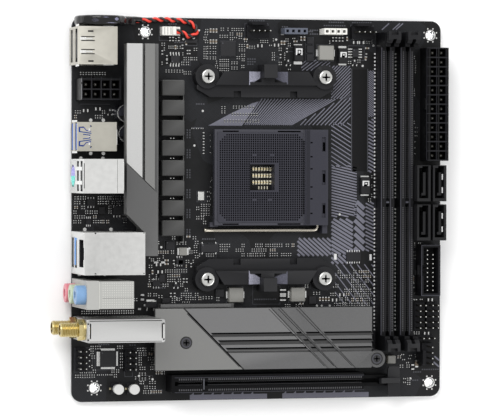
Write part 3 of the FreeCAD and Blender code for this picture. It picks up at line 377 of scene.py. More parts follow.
FINISH = {
    "board": solder_mask(),
    "backplate": finish("black_steel", (0.02, 0.02, 0.022), 0.45, metal=0.3, wear=0.3),
    "bracket": moulded("matt_bracket", (0.006, 0.006, 0.0075), 0.55, wear=0.15),
    "bright_screw": finish("bright_nickel", (0.62, 0.62, 0.6), 0.25, metal=1.0, wear=0.4),
    "socket_plastic": moulded("slate_plastic", (0.026, 0.026, 0.036), 0.55, wear=0.15),
    "lever_steel": brushed("lever_steel", (0.42, 0.39, 0.33), 0.2, "x"),
    "slot_plastic": moulded("slot_plastic", (0.0045, 0.0045, 0.0055), 0.42, specular=0.15),
    "latch_plastic": moulded("latch_plastic", (0.007, 0.007, 0.0085), 0.4, wear=0.1),
    "power_plastic": moulded("power_plastic", (0.004, 0.004, 0.0045), 0.4, specular=0.15),
    "tin": finish("tin", (0.72, 0.72, 0.72), 0.3, metal=1.0),
    "header_plastic": moulded("header_plastic", (0.006, 0.006, 0.0075), 0.5, specular=0.15),
    "gold_pin": finish("gold_pin", (0.86, 0.72, 0.42), 0.25, metal=1.0),
    "grey_plastic": moulded("grey_plastic", (0.09, 0.1, 0.13), 0.5),
    "white_plastic": moulded("white_plastic", (0.72, 0.71, 0.67), 0.45),
    "nickel_shell": finish("nickel_shell", (0.44, 0.425, 0.375), 0.42, metal=0.85, spread=0.05, scale=500.0,
                           bump=0.04, wear=0.5),
    "silver_shell": finish("silver_shell", (0.50, 0.50, 0.49), 0.42, metal=0.85, spread=0.05, scale=500.0,
                           bump=0.04, wear=0.5),
    "port_plastic": moulded("port_plastic", (0.008, 0.008, 0.010), 0.45),
    "blue_plastic": moulded("blue_plastic", (0.02, 0.10, 0.42), 0.4),
    "ps2_plastic": recolour_beyond(moulded("two_colour_plastic", (0.16, 0.70, 0.62), 0.45), (0, 1, 0),
                                    PS2_MIDDLE_Y, (0.38, 0.36, 0.72)),
    "audio_housing": moulded("audio_housing", (0.36, 0.36, 0.345), 0.4, spread=0.05),
    "pink_plastic": moulded("pink_plastic", (0.62, 0.20, 0.24), 0.35, coat=0.2),
    "green_plastic": moulded("green_plastic", (0.42, 0.50, 0.36), 0.35, coat=0.2),
    "light_blue_plastic": moulded("light_blue_plastic", (0.17, 0.30, 0.50), 0.35, coat=0.2),
    "card_board": finish("card_board", (0.01, 0.06, 0.03), 0.4, spread=0.3),
    "gold": finish("gold", (0.52, 0.43, 0.20), 0.3, metal=1.0, wear=0.3),
    "dark_aluminium": finish("dark_aluminium", (0.105, 0.105, 0.105), 0.45, metal=0.8, spread=0.1,
                             scale=4200.0, bump=0.3, wear=0.6),
    # painted shade: the second heatsink bar, past x = 27.2 mm, takes the darker tone
    "light_aluminium": recolour_beyond(
        finish("light_aluminium", (0.39, 0.39, 0.385), 0.45, metal=0.8, spread=0.2, scale=2400.0, bump=0.25,
               wear=0.6), (1, 0, 0), at(27.2, 0, 0).x, (0.215, 0.215, 0.21)),
    "chip_plastic": moulded("chip_plastic", (0.016, 0.016, 0.018), 0.5),
    "choke": finish("choke", (0.030, 0.030, 0.029), 0.55, spread=0.2, scale=5200.0, bump=0.5, wear=0.5),
    "pale_choke": finish("pale_choke", (0.165, 0.162, 0.148), 0.5, spread=0.15, scale=5200.0, bump=0.5,
                         wear=0.4),
    "pad": finish("pad", (0.30, 0.31, 0.33), 0.8, spread=0.1),
    "can": finish("can", (0.62, 0.62, 0.60), 0.35, metal=0.9),
    "cover_aluminium": recolour_beyond(
        finish("cover_aluminium", (0.080, 0.080, 0.081), 0.42, metal=0.7, spread=0.35, scale=2400.0, bump=0.3,
               wear=0.6), (-1, -1, 0), -(at(89.3, 0, 0).x + at(0, 0, 0).y), (0.205, 0.205, 0.20)),
    "brass_post": finish("brass_post", (0.6, 0.48, 0.22), 0.3, metal=1.0),
    "shrink_wrap": finish("shrink_wrap", (0.004, 0.004, 0.0045), 0.12, scale=160.0, bump=1.0, specular=0.4,
                          stretch=(1, 0.3, 1), rough_spread=0.05, relief_depth=0.0015),
    "wire": finish("wire", (0.75, 0.05, 0.03), 0.4),
}

SILK = finish("silkscreen", (0.155, 0.155, 0.19), 0.6, spread=0.1, specular=0.2)
SILK_DIM = finish("dim_silkscreen", (0.055, 0.057, 0.068), 0.6, spread=0.1)
# white for print, labels, pale pads and leads, and painted highlights on the display springs
WHITE_PRINT_AND_HIGHLIGHT = finish("white_print_and_painted_highlight", (0.62, 0.62, 0.62), 0.6, spread=0.06)
SOLDER = finish("solder", (0.66, 0.66, 0.65), 0.28, metal=1.0, spread=0.1)
CERAMIC = moulded("ceramic", (0.17, 0.135, 0.10), 0.5)
RESISTOR = moulded("resistor", (0.012, 0.012, 0.014), 0.4)
# flat black: painted shade in holes, slots, seams, notches, grooves and screw recesses, and printed glyphs
SHADE_AND_PRINT_BLACK = finish("painted_shade_and_print_black", (0.0015, 0.0015, 0.0018), 0.9, specular=0.0)
GLOSS_BLACK = moulded("print_black", (0.0045, 0.0045, 0.005), 0.5, specular=0.15)
BRIGHT = finish("bright_shell", (0.80, 0.80, 0.78), 0.25, metal=0.9, spread=0.04)
DEEP_BLUE = moulded("deep_blue", (0.012, 0.035, 0.22), 0.45)
# painted shade on the sloping sides of the M.2 cover's grooves
GROOVE_SLOPE_SHADE = finish("groove_slope_painted_shade", (0.030, 0.030, 0.030), 0.5, metal=0.4)
BLUE_TONGUE = moulded("blue_tongue", (0.06, 0.24, 0.62), 0.35)
PIN_PAINTED_SHADE = finish("shaded_pin", (0.035, 0.033, 0.027), 0.4, metal=0.6)
DARK_SCREW = finish("black_screw", (0.030, 0.030, 0.031), 0.4, metal=0.5)
CAGE_STEEL = finish("cage_steel", (0.42, 0.42, 0.415), 0.42, metal=0.85, spread=0.08, scale=1500.0, bump=0.06,
                    wear=0.4)
CAPACITOR = recolour_beyond(moulded("capacitor_bodies", (0.010, 0.010, 0.011), 0.4), (0, -1, 0),
                            -at(0, 20.0, 0).y, (0.60, 0.60, 0.585))
# lit and shaded copies of one speckled finish: painted light and painted shade on the bracket slopes
SPECKLED_PAINTED_LIGHT = finish("speckled_painted_light", (0.25, 0.25, 0.31), 0.7, spread=0.9, scale=1900.0, bump=0.3)
SPECKLED_PAINTED_SHADE = finish("speckled_painted_shade", (0.065, 0.065, 0.09), 0.7, spread=0.9, scale=1900.0, bump=0.3)
# painted highlight on the tops of the power headers' pocket walls
RIM_PAINTED_HIGHLIGHT = moulded("rim_painted_highlight", (0.022, 0.022, 0.028), 0.5)
WRAP_GLINT = moulded("wrap_glint", (0.20, 0.20, 0.29), 0.3)
LATCH_PAINTED_HIGHLIGHT = moulded("latch_painted_highlight", (0.22, 0.22, 0.23), 0.45)

# nodes that need a look of their own inside a shared slot; the pins are darkened as painted shade
NODE_FINISH = {"power_pins": PIN_PAINTED_SHADE, "header_pins": PIN_PAINTED_SHADE, "m2_cover_screws": DARK_SCREW,
               "wifi_cage": CAGE_STEEL, "surface_capacitors": CAPACITOR,
               "bulk_capacitors": finish("dark_can", (0.075, 0.075, 0.095), 0.3, metal=0.9),
               "pcie_slot": moulded("expansion_plastic", (0.002, 0.002, 0.0025), 0.5, specular=0.1),
               "sata_ports": moulded("sata_plastic", (0.0085, 0.0085, 0.0095), 0.4)}
BLACK_WIRE = finish("black_wire", (0.012, 0.012, 0.013), 0.35)
SOCKET_SHADE = moulded("socket_shade", (0.012, 0.012, 0.018), 0.6)
CREAM = moulded("cream", (0.80, 0.76, 0.60), 0.4)
PALE_GOLD = finish("pale_gold", (0.62, 0.55, 0.36), 0.3, metal=0.8)
CONTACT_GREY = finish("contact_grey", (0.07, 0.07, 0.075), 0.5, metal=0.3)
# painted highlight along lit edges, rims and keys
EDGE_HIGHLIGHT_GREY = moulded("edge_painted_highlight", (0.06, 0.06, 0.075), 0.5)
# painted shade in seams, slots and folds
SEAM_SHADE_GREY = moulded("seam_painted_shade", (0.10, 0.10, 0.095), 0.6)
AUDIO_LIGHT = moulded("audio_light", (0.50, 0.50, 0.47), 0.4)
CLAMP_GREY = finish("clamp_grey", (0.14, 0.14, 0.135), 0.45, metal=0.5)


def dress_cad_nodes():
    """Every CAD node takes its slot's finish, and soft edges that catch the light."""
    slots = {part["node"]: part["material_slot"] for part in frame["record"]["subparts"]}
    fine = ("header_pins", "power_pins", "battery_lead", "vrm_mosfets", "thermal_pads", "wifi_card")
    for name, node in frame["nodes"].items():
        node.data.materials.clear()
        node.data.materials.append(NODE_FINISH.get(name, FINISH[slots[name]]))
        if name in fine:
            continue
        weld = node.modifiers.new("weld", "WELD")
        weld.merge_threshold = 0.000001
        add_bevel(node, 0.12 if name != "circuit_board" else 0.05)
        even = node.modifiers.new("normals", "WEIGHTED_NORMAL")
        even.keep_sharp = True
        even.weight = 100


# ---------------------------------------------------------------- printing and plating on the board

SILK_Z = raised(0.03)
PLATE_Z = raised(0.06)
HOLES = ((10.16, 6.17), (33.02, 163.65), (165.1, 163.65), (165.1, 6.17))
COOLER_HOLES = [(86.8 + sx * 27.0, 99.0 + sy * 45.0) for sx in (-1, 1) for sy in (-1, 1)]
CANS = ((20.1, 5.7), (27.2, 5.6))
CHOKE_PITCH = 8.87


def hatch(shape, x, y, rise, gap, width):
    """Parallel lines clipped to a rectangle; each climbs by rise for every mm to the right."""
    run = (x[1] - x[0]) * rise
    level = y[0] - max(run, 0) + gap / 2
    while level < y[1] - min(run, 0):
        crossings = sorted(x[0] + (edge - level) / rise for edge in y)
        start, end = max(x[0], crossings[0]), min(x[1], crossings[1])
        if end - start > 0.4:
            ends = [(edge, level + rise * (edge - x[0])) for edge in (start, end)]
            shape.strip(*ends, width, SILK_Z)
        level += gap


def fan_of_lines(shape):
    """Lines that spread from above the socket's left half to the right end of the upper bracket."""
    count = 24
    for i in range(count):
        t = i / (count - 1)
        shape.strip((78.5 + 21.5 * t, 122.7), (86.5 + 34.0 * t, 134.4), 0.42, SILK_Z)
    boundary_x, boundary_rise = 102.0, 0.56
    for i in range(11):
        start = 104.2 + 1.9 * i
        end = min((start - boundary_rise * boundary_x) / (1 - boundary_rise), 127.6)
        shape.strip((start, 122.7), (end, 122.7 + end - start), 0.42, SILK_Z)


def printed_pattern():
    lines = Shape()
    lines.prism([(61.8, 122.3), (77.2, 122.3), (85.0, 133.2), (82.0, 132.4), (71.8, 127.6)], SILK_Z)
    fan_of_lines(lines)
    for area in (((118.5, 127.6), (134.6, 149.5), 1.0, 1.45, 0.4),
                 ((104.5, 118.0), (147.2, 152.0), 0.75, 1.5, 0.4),
                 ((118.6, 127.8), (104.0, 123.8), -0.62, 1.95, 0.45),
                 ((118.8, 130.6), (81.5, 104.5), -0.24, 1.27, 0.62),
                 ((118.8, 128.8), (64.5, 80.6), -0.6, 1.75, 1.0),
                 ((136.0, 138.6), (126.6, 147.4), -0.8, 0.95, 0.42),
                 ((136.0, 138.6), (101.6, 125.6), -0.55, 1.6, 0.7),
                 ((134.8, 138.6), (66.0, 88.6), -0.5, 1.6, 0.65),
                 ((129.6, 134.2), (66.0, 88.4), -0.9, 3.1, 1.7),
                 ((103.0, 118.6), (64.0, 72.0), -0.87, 1.9, 0.9),
                 ((118.8, 128.8), (60.4, 64.3), -0.87, 1.9, 0.9),
                 ((120.5, 138.6), (41.5, 60.0), -1.25, 4.2, 0.45)):
        hatch(lines, *area)
    for x, y in ((142.2, 165.9), (147.3, 166.0), (148.8, 166.0)):
        lines.strip((x, y), (x + 3.4, y + 2.9), 0.5, SILK_Z)
    for x, y, reach in ((167.5, 18.1, 2.2), (167.1, 15.5, 2.6)):
        lines.strip((x, y), (x + reach, y - reach * 0.85), 0.7, SILK_Z)
    for x in ((53.5, 89.0), (96.1, 136.4)):
        lines.block(x, (0.15, 2.4), SILK_Z)
        teeth = int((x[1] - x[0]) / 4.55)
        for i in range(teeth):
            foot = x[0] + 0.6 + 4.55 * i
            lines.prism([(foot, 2.4), (foot + 1.3, 2.4), (foot + 1.1, 3.4)], SILK_Z)
    lines.block((38.15, 38.85), (66.0, 158.2), SILK_Z)
    lines.piece("printed_pattern", SILK, "board")
    panel = Shape()
    panel.block((128.4, 135.3), (102.0, 147.9), SILK_Z)
    panel.piece("printed_panel", GLOSS_BLACK, "board")


def printed_outlines():
    """Fine outlines round connectors and chips, and short plain dashes beside them."""
    lines = Shape()
    for x in (128.0, 135.5):
        lines.block((x, x + 0.25), (101.8, 148.2), SILK_Z)
    boxes = (((127.4, 138.2), (161.3, 167.9)), ((78.4, 89.2), (161.3, 168.1)), ((39.2, 48.9), (159.9, 166.3)),
             ((111.7, 119.6), (151.3, 158.9)), ((70.1, 77.9), (43.0, 50.6)), ((98.8, 106.4), (43.0, 50.4)),
             ((23.6, 29.3), (13.1, 23.6)), ((23.8, 27.5), (10.9, 13.2)), ((67.1, 74.2), (153.1, 160.1)),
             ((82.2, 95.0), (42.4, 50.8)), ((106.6, 110.3), (150.9, 162.2)), ((161.2, 168.2), (45.5, 69.0)),
             ((57.9, 66.4), (65.2, 70.0)), ((51.0, 56.6), (157.7, 160.4)), ((10.4, 21.0), (14.0, 23.3)),
             ((103.0, 106.6), (160.7, 162.5)), ((126.4, 134.0), (151.9, 158.6)), ((56.5, 60.4), (88.2, 93.2)),
             ((1.0, 9.4), (13.2, 24.0)), ((41.9, 46.2), (66.8, 71.2)), ((33.0, 38.3), (41.2, 44.8)))
    for x, y in boxes:
        lines.outline(x, y, 0.16, SILK_Z)
    for y in (158.8, 154.8):
        lines.block((106.7, 110.2), (y, y + 0.16), SILK_Z)
    lines.block((3.6, 17.1), (131.4, 131.6), SILK_Z)
    dash_rows = ((43.4, 167.0, 4), (80.5, 169.0, 7), (95.5, 166.4, 3), (104.0, 164.4, 6), (117.3, 168.7, 7),
                 (128.2, 168.7, 9), (115.0, 167.2, 10), (56.1, 131.6, 4), (54.3, 121.0, 5), (59.0, 71.5, 6),
                 (83.0, 44.4, 10), (157.0, 7.1, 3), (157.3, 10.8, 4), (161.5, 11.9, 8), (79.6, 151.8, 4),
                 (79.6, 150.6, 4), (79.6, 149.5, 3), (46.2, 158.9, 5), (108.5, 163.3, 4), (108.5, 165.0, 4),
                 (130.0, 52.0, 6), (38.4, 51.3, 4), (38.4, 49.9, 4), (12.0, 25.0, 5), (26.0, 24.6, 3))
    dashes = Shape()
    for x, y, count in dash_rows:
        for i in range(count):
            dashes.block((x + i * 1.05, x + i * 1.05 + 0.7), (y, y + 0.55), SILK_Z)
    for choke in range(6):
        y = 119.9 - CHOKE_PITCH * choke
        for x in (51.9, 53.1):
            for k in range(4):
                dashes.block((x, x + 0.5), (y - 1.1 * k, y - 1.1 * k + 0.7), SILK_Z)
    lines.piece("printed_outlines", SILK_DIM, "board")
    dashes.piece("printed_dashes", SILK_DIM, "board")


def plated_spots():
    """Eight plated dots and a ring round each fixing hole, test points, and rows of soldered pins."""
    spots = Shape()
    for x, y in HOLES:
        spots.ring(x, y, 2.45, 2.02, PLATE_Z, 32)
        for i in range(8):
            angle = math.radians(22.5 + 45 * i)
            spots.disc(x + 3.15 * math.cos(angle), y + 3.15 * math.sin(angle), 0.36, PLATE_Z)
    singles = ((59.2, 128.8), (55.4, 113.4), (133.2, 149.5), (92.9, 160.9), (128.7, 161.8), (138.2, 158.7),
               (57.4, 164.6), (55.0, 161.2), (50.3, 160.6), (112.1, 41.6), (114.3, 41.5), (118.1, 41.5),
               (156.1, 8.2), (40.4, 68.2), (53.2, 67.6), (122.6, 82.6), (30.3, 11.2), (36.5, 9.6))
    for x, y in singles:
        spots.disc(x, y, 0.5, PLATE_Z)
    rows = ((44.65, 116.6, 2, 5, 1.3, -8.9), (4.6, 40.1, 23, 1, 1.05, 0), (4.6, 39.1, 23, 1, 1.05, 0),
            (5.4, 15.7, 1, 3, 0, 2.5), (8.0, 15.7, 1, 4, 0, 2.5), (62.7, 110.3, 1, 4, 0, 2.6),
            (62.9, 87.0, 1, 5, 0, 2.6), (63.4, 98.0, 1, 2, 0, 1.0))
    for x, y in (point for row in rows for point in grid(row)):
        spots.disc(x, y, 0.27, PLATE_Z, 8)
    spots.piece("plated_spots", SOLDER, "tin")
    arcs = Shape()
    for x, y in ((8.4, 124.4), (14.1, 124.4), (8.4, 109.8), (14.1, 109.8), (4.0, 107.6), (13.9, 107.6),
                 (5.8, 76.2), (17.6, 76.2), (3.4, 56.4), (14.8, 56.4)):
        arcs.disc(x, y, 0.8, PLATE_Z)
    arcs.piece("shell_solder", SOLDER, "tin")


# ---------------------------------------------------------------- small parts

TINY = (1.25, 0.6, 0.38, 0.4)
SMALL = (1.9, 0.85, 0.5, 0.55)
MEDIUM = (2.5, 1.4, 0.65, 0.8)
LONG = (3.4, 1.5, 0.7, 0.6)

# clusters of two-ended parts that lie along y: x, y, columns, rows and the steps between them
UPRIGHT_TINY_DARK = (
    (43.6, 157.0, 3, 0.95), (47.5, 157.0, 2, 1.3), (60.4, 164.6, 2, 0.95), (67.0, 162.1, 4, 1.1),
    (60.3, 159.6, 2, 1.0), (61.3, 152.4, 2, 3, 1.2, 2.35), (63.9, 152.4, 2, 3, 1.0, 2.35),
    (67.0, 147.3, 5, 3, 0.95, 2.0), (72.5, 165.2, 6, 1.04), (75.8, 161.6, 2, 0.95),
    (85.7, 160.0, 4, 1.04), (80.6, 157.4, 3, 1.1), (72.4, 148.0, 3, 2, 1.2, 2.3),
    (75.9, 156.1, 3, 2, 1.15, 2.0), (77.0, 153.7, 2, 1.2), (77.2, 151.7, 2, 0.8), (77.0, 148.7, 2, 0.9),
    (134.0, 160.2, 4, 1.1), (126.5, 151.0, 2, 1.0), (58.6, 82.8, 4, 3, 1.15, 2.0), (47.5, 70.0, 2, 1.2),
    (50.2, 70.0, 2, 1.2), (55.4, 68.4, 2, 1.0), (55.4, 66.2, 2, 1.0), (38.6, 62.8, 2, 0.9),
    (35.9, 62.6, 2, 0.9), (36.3, 53.5, 2, 0.9), (39.3, 46.3, 2, 1.3), (59.5, 45.6, 4, 1.3),
    (97.4, 41.8, 3, 1.0), (102.4, 41.8, 3, 1.2), (154.7, 6.0, 2, 2, 1.0, 1.9), (157.8, 28.8, 3, 1.1),
    (73.2, 130.6, 8, 1.3), (72.7, 127.4, 10, 1.25), (69.2, 124.4, 13, 1.3), (67.9, 128.4, 2, 2, 1.3, 1.9),
    (3.8, 145.0, 10, 1.22), (42.4, 146.4, 7, 1.25), (30.5, 9.8, 3, 2, 1.3, 2.2),
    (35.2, 6.0, 3, 2, 1.2, 2.2), (110.5, 47.2, 3, 1.35))
UPRIGHT_SMALL_DARK = (
    (44.1, 160.6, 2, 1.4), (48.1, 160.6), (49.8, 157.2), (52.1, 154.9, 2, 1.0),
    (42.7, 150.6, 1, 2, 0, 1.9), (40.6, 154.6), (119.2, 161.3, 4, 1.5), (94.8, 153.5), (97.8, 156.2),
    (134.8, 154.2), (50.5, 53.4, 2, 1.4), (44.7, 47.0, 2, 1.7), (59.5, 110.6, 1, 4, 0, 2.6), (46.0, 61.6),
    (53.9, 60.2))
UPRIGHT_SMALL_TAN = (
    (51.5, 158.9), (46.6, 157.0), (62.6, 164.6, 3, 1.35), (62.6, 159.7, 3, 1.3), (79.5, 157.8),
    (95.3, 159.5, 2, 1.3), (104.4, 161.5, 2, 1.5), (114.2, 164.5), (125.8, 161.6), (113.4, 44.6, 4, 1.37),
    (134.5, 152.9), (36.3, 57.2))
UPRIGHT_LONG_TAN = (
    (158.9, 14.9), (156.8, 53.2))
UPRIGHT_MEDIUM_DARK = (
    (95.6, 164.2), (157.0, 13.4), (157.0, 50.4), (95.4, 47.9, 2, 1.4), (95.4, 45.2, 2, 1.4),
    (18.4, 128.0))
# clusters that lie along x
FLAT_TINY_DARK = (
    (74.1, 161.6), (78.7, 159.9), (90.2, 158.3), (101.0, 161.5), (99.0, 147.6),
    (61.8, 88.6, 1, 3, 0, 2.1), (157.4, 67.6, 1, 3, 0, 0.95), (160.1, 67.6, 1, 3, 0, 0.95),
    (157.6, 62.5, 1, 3, 0, 1.5), (152.3, 19.1), (152.8, 16.8), (156.1, 18.6), (158.7, 19.0),
    (158.9, 18.1), (155.6, 17.3), (154.6, 15.4), (153.2, 6.5), (153.2, 8.2), (22.3, 15.0, 1, 6, 0, 1.25),
    (4.2, 13.0, 3, 2.0), (11.9, 11.9, 4, 1.9), (54.6, 121.0, 3, 2.1), (158.4, 47.0), (158.4, 43.9),
    (161.0, 44.0), (156.8, 44.0), (66.2, 44.4, 1, 2, 0, 1.2), (157.4, 39.0), (157.1, 36.9, 1, 3, 0, 1.2),
    (157.4, 110.0, 1, 4, 0, 2.7), (158.4, 118.0, 1, 3, 0, 1.9), (37.2, 65.6, 1, 3, 0, 1.6))
FLAT_SMALL_TAN = (
    (78.7, 160.9), (135.2, 157.5), (101.7, 160.2), (42.7, 60.8, 1, 2, 0, 1.6), (104.8, 42.6),
    (52.6, 72.9))
FLAT_MEDIUM_DARK = (
    (85.2, 158.0), (92.9, 158.4), (129.7, 160.0), (132.4, 160.0), (163.5, 28.6), (165.2, 43.8),
    (39.7, 57.3), (120.1, 44.1), (123.5, 46.4), (39.0, 60.5), (6.0, 128.6), (11.5, 129.4))


def two_ended(bodies, ends, x, y, upright, body, tip, height, inset):
    """One chip part: a body, and a tinned end on each side; body and tip are (low, high, half) spans."""
    low, high, half = tip
    for shape, (near, far, side), top, draft in ((bodies, body, height - 0.05, 0.0),
                                                 (ends, (-high, -low, half), height, inset),
                                                 (ends, tip, height, inset)):
        along, across = (near, far), (-side, side)
        dx, dy = (across, along) if upright else (along, across)
        shape.block((x + dx[0], x + dx[1]), (y + dy[0], y + dy[1]), (TOP - 0.02, TOP + top), draft)


def chip_parts(name, size, upright, body_finish, clusters):
    """Rows of two-ended chip parts."""
    length, width, end, height = size
    bodies, ends = Shape(), Shape()
    for x, y in (point for cluster in clusters for point in grid(cluster)):
        two_ended(bodies, ends, x, y, upright, (-length / 2 + end, length / 2 - end, width / 2 - 0.03),
                  (length / 2 - end, length / 2, width / 2), height, 0.06)
    bodies.piece(name + "_bodies", body_finish, "chip_plastic")
    ends.piece(name + "_ends", SOLDER, "tin")


def all_chip_parts():
    for name, size, clusters in (
            ("upright_tiny", TINY, UPRIGHT_TINY_DARK), ("upright_small", SMALL, UPRIGHT_SMALL_DARK),
            ("upright_small_tan", SMALL, UPRIGHT_SMALL_TAN), ("upright_long_tan", LONG, UPRIGHT_LONG_TAN),
            ("upright_medium", MEDIUM, UPRIGHT_MEDIUM_DARK), ("flat_tiny", TINY, FLAT_TINY_DARK),
            ("flat_small_tan", SMALL, FLAT_SMALL_TAN), ("flat_medium", MEDIUM, FLAT_MEDIUM_DARK)):
        chip_parts(name, size, "upright" in name, CERAMIC if "tan" in name else RESISTOR, clusters)


# ---------------------------------------------------------------- chips and their leads


def lead_row(shape, first, last, count, reach, upright):
    """Gull-wing leads between two points: each steps down from the body to a foot on the board."""
    for i in range(count):
        t = i / (count - 1)
        x, y = first[0] + (last[0] - first[0]) * t, first[1] + (last[1] - first[1]) * t
        half = 0.24
        near, far = (0, reach) if reach > 0 else (reach, 0)
        knee = reach * 0.4
        low, high = (min(0, knee), max(0, knee))
        if upright:
            shape.block((x - half, x + half), (y + near, y + far), raised(0.2))
            shape.block((x - half, x + half), (y + low, y + high), (TOP + 0.2, TOP + 0.85), 0.05)
        else:
            shape.block((x + near, x + far), (y - half, y + half), raised(0.2))
            shape.block((x + low, x + high), (y - half, y + half), (TOP + 0.2, TOP + 0.85), 0.05)


def chip_leads():
    leads = Shape()
    rows = (((44.4, 48.2), (153.2, 153.2), 4, 1.6), ((44.4, 48.2), (150.0, 150.0), 4, -1.6),
            ((128.2, 128.2), (153.4, 157.0), 4, -1.9), ((130.9, 130.9), (153.4, 157.0), 4, 1.9),
            ((13.3, 19.1), (22.6, 22.6), 12, 0.9), ((13.3, 19.1), (15.4, 15.4), 12, -0.9),
            ((12.6, 12.6), (16.1, 21.9), 12, -1.4), ((19.8, 19.8), (16.1, 21.9), 12, 0.9),
            ((59.0, 65.2), (69.5, 69.5), 2, 0.9), ((59.0, 65.2), (65.9, 65.9), 2, -0.9))
    for x, y, count, reach in rows:
        lead_row(leads, (x[0], y[0]), (x[1], y[1]), count, reach, y[0] == y[1])
    for x, y in ((98.5, 150.5), (129.4, 150.8), (47.0, 51.2), (17.0, 128.0), (159.9, 52.6)):
        lead_row(leads, (x - 0.9, y - 0.6), (x + 0.9, y - 0.6), 2, -0.8, True)
        leads.block((x - 0.3, x + 0.3), (y + 0.6, y + 1.4), raised(0.2))
    for x, y in (((100.9, 104.7), (158.3, 158.9)), ((100.9, 104.7), (149.9, 151.2)),
                 ((121.7, 125.3), (157.2, 158.3)), ((121.7, 125.3), (149.7, 150.5)),
                 ((132.2, 136.0), (99.3, 100.0)), ((132.2, 136.0), (91.0, 91.7))):
        leads.block(x, y, (TOP - 0.02, 2.4))
    for x0, x1, y in ((69.7, 78.2, 46.8), (98.2, 106.9, 46.8), (111.1, 119.9, 155.1), (47.4, 52.7, 66.3)):
        leads.block((x0, x1), (y - 1.6, y + 1.6), (TOP - 0.02, 2.7), 0.1)
    leads.block((33.6, 37.2), (44.0, 45.0), (TOP - 0.02, 2.0))
    lead_row(leads, (33.9, 41.6), (36.9, 41.6), 2, -1.6, True)
    leads.piece("chip_leads", SOLDER, "tin")
    bodies = Shape()
    for x, y, height in (((58.2, 66.0), (65.8, 69.6), 1.5), ((108.2, 111.6), (42.4, 46.0), 1.0),
                         ((64.9, 68.9), (45.9, 49.4), 1.0), ((47.9, 50.4), (60.2, 62.6), 0.9),
                         ((39.2, 41.8), (52.8, 56.2), 1.1), ((97.4, 99.6), (149.9, 151.1), 1.1),
                         ((128.3, 130.5), (150.2, 151.4), 1.1), ((45.9, 48.1), (50.6, 51.8), 1.1),
                         ((15.9, 18.1), (127.4, 128.6), 1.1), ((158.8, 161.0), (52.0, 53.2), 1.1),
                         ((51.2, 56.4), (158.9, 160.2), 1.0), ((106.9, 110.0), (151.2, 154.6), 1.0),
                         ((106.9, 110.0), (155.1, 158.5), 1.0), ((106.9, 110.0), (159.1, 162.0), 1.0),
                         ((157.4, 160.2), (55.0, 57.4), 1.0),
                         ((40.6, 44.2), (43.4, 45.8), 1.1)):
        bodies.block(x, y, raised(height), 0.08)
    bodies.piece("small_chips", FINISH["chip_plastic"], "chip_plastic", bevel=0.08)
    pale = Shape()
    pale.block((48.2, 51.8), (64.5, 68.1), (TOP, 3.5), 0.1)
    pale.piece("pale_inductor", FINISH["pale_choke"], "pale_choke", bevel=0.15)
    crystals = Shape()
    crystals.block((56.7, 59.9), (88.9, 93.0), (TOP, 2.9), 0.15)
    crystals.block((35.8, 38.0), (41.2, 44.8), (TOP, 3.0), 0.2)
    crystals.piece("crystals", FINISH["can"], "can", bevel=0.25)
    dots = Shape()
    for x, y, z in ((45.0, 150.7, 3.2), (128.8, 156.5, 3.2), (13.5, 21.6, 3.0), (68.1, 159.0, 2.6),
                    (59.0, 68.9, 3.1), (43.0, 70.2, 2.6), (54.0, 34.3, 3.3)):
        dots.disc(x, y, 0.28, (z - 0.01, z + 0.03), 12)
    dots.piece("pin_one_dots", SILK_DIM, "chip_plastic")


# ---------------------------------------------------------------- processor socket

PIN_COUNT = 39
PIN_PITCH = (1.011, 0.995)
FIELD_LOW = (65.6, 80.35)
WINDOW_COLUMNS, WINDOW_ROWS = (14, 27), (13, 26)


def is_pin(column, row):
    """Whether the field has a pin here: not in the window, the cut corners or the keying gaps."""
    last = PIN_COUNT - 1
    if WINDOW_COLUMNS[0] <= column < WINDOW_COLUMNS[1] and WINDOW_ROWS[0] <= row < WINDOW_ROWS[1]:
        return False
    if min(column, last - column) + min(row, last - row) < 3:
        return False
    return (column, row) not in ((16, 9), (23, 9), (16, 29), (24, 29), (15, 9), (22, 9), (15, 29), (23, 29))


def socket_details():
    """Painted-shade pin holes, slots and ramp band that ride on the sliding cover, and the parts in its
    window.
    """
    top = span("socket_cover")[2][1] - 0.5
    pins = Shape()
    for column in range(PIN_COUNT):
        for row in range(PIN_COUNT):
            if is_pin(column, row):
                x, y = FIELD_LOW[0] + column * PIN_PITCH[0], FIELD_LOW[1] + row * PIN_PITCH[1]
                pins.pad(x, y, 0.31, 0.34, raised(0.02, top))
    pins.piece("socket_pin_holes", SHADE_AND_PRINT_BLACK, "socket_plastic", body="cover")
    slots = Shape()
    for x in ((66.8, 74.1), (92.0, 102.6)):
        for y in (78.45, 119.75):
            slots.block(x, (y - 0.3, y + 0.3), (8.18, 8.23))
    for y in (83.1, 97.1, 111.1):
        slots.block((112.8, 114.2), (y, y + 3.85), (8.38, 8.45))
    for y in (83.2, 89.7, 95.0, 103.1, 108.5, 114.8):
        slots.block((106.9, 107.9), (y - 0.3, y + 0.3), (9.08, 9.13))
    slots.block((92.3, 92.39), (92.75, 105.65), (2.6, 8.4))
    slots.piece("socket_slots", SHADE_AND_PRINT_BLACK, "socket_plastic", body="cover")
    ridges = Shape()
    ridges.block((105.0, 106.7), (78.2, 120.3), (9.05, 9.16))
    ridges.piece("socket_ramp_band", SOCKET_SHADE, "socket_plastic", body="cover")
    gold, trays = Shape(), Shape()
    for row, y in enumerate((103.0, 100.0, 97.0)):
        for column in range(8):
            x = 82.3 + column * 1.31
            gold.pad(x, y, 0.42, 0.95, (TOP - 0.02, 2.35), 0.1)
            trays.pad(x, y, 0.43, 0.3, (TOP, 2.4), 0.05)
    for column in (2, 3, 4, 5, 7):
        x = 82.3 + column * 1.31
        gold.block((x - 0.22, x + 0.22), (93.9, 95.3), (TOP - 0.02, 2.1), 0.05)
    gold.piece("socket_window_ends", CREAM, "tin")
    trays.piece("socket_window_bodies", FINISH["gold_pin"], "chip_plastic")


# ---------------------------------------------------------------- connectors


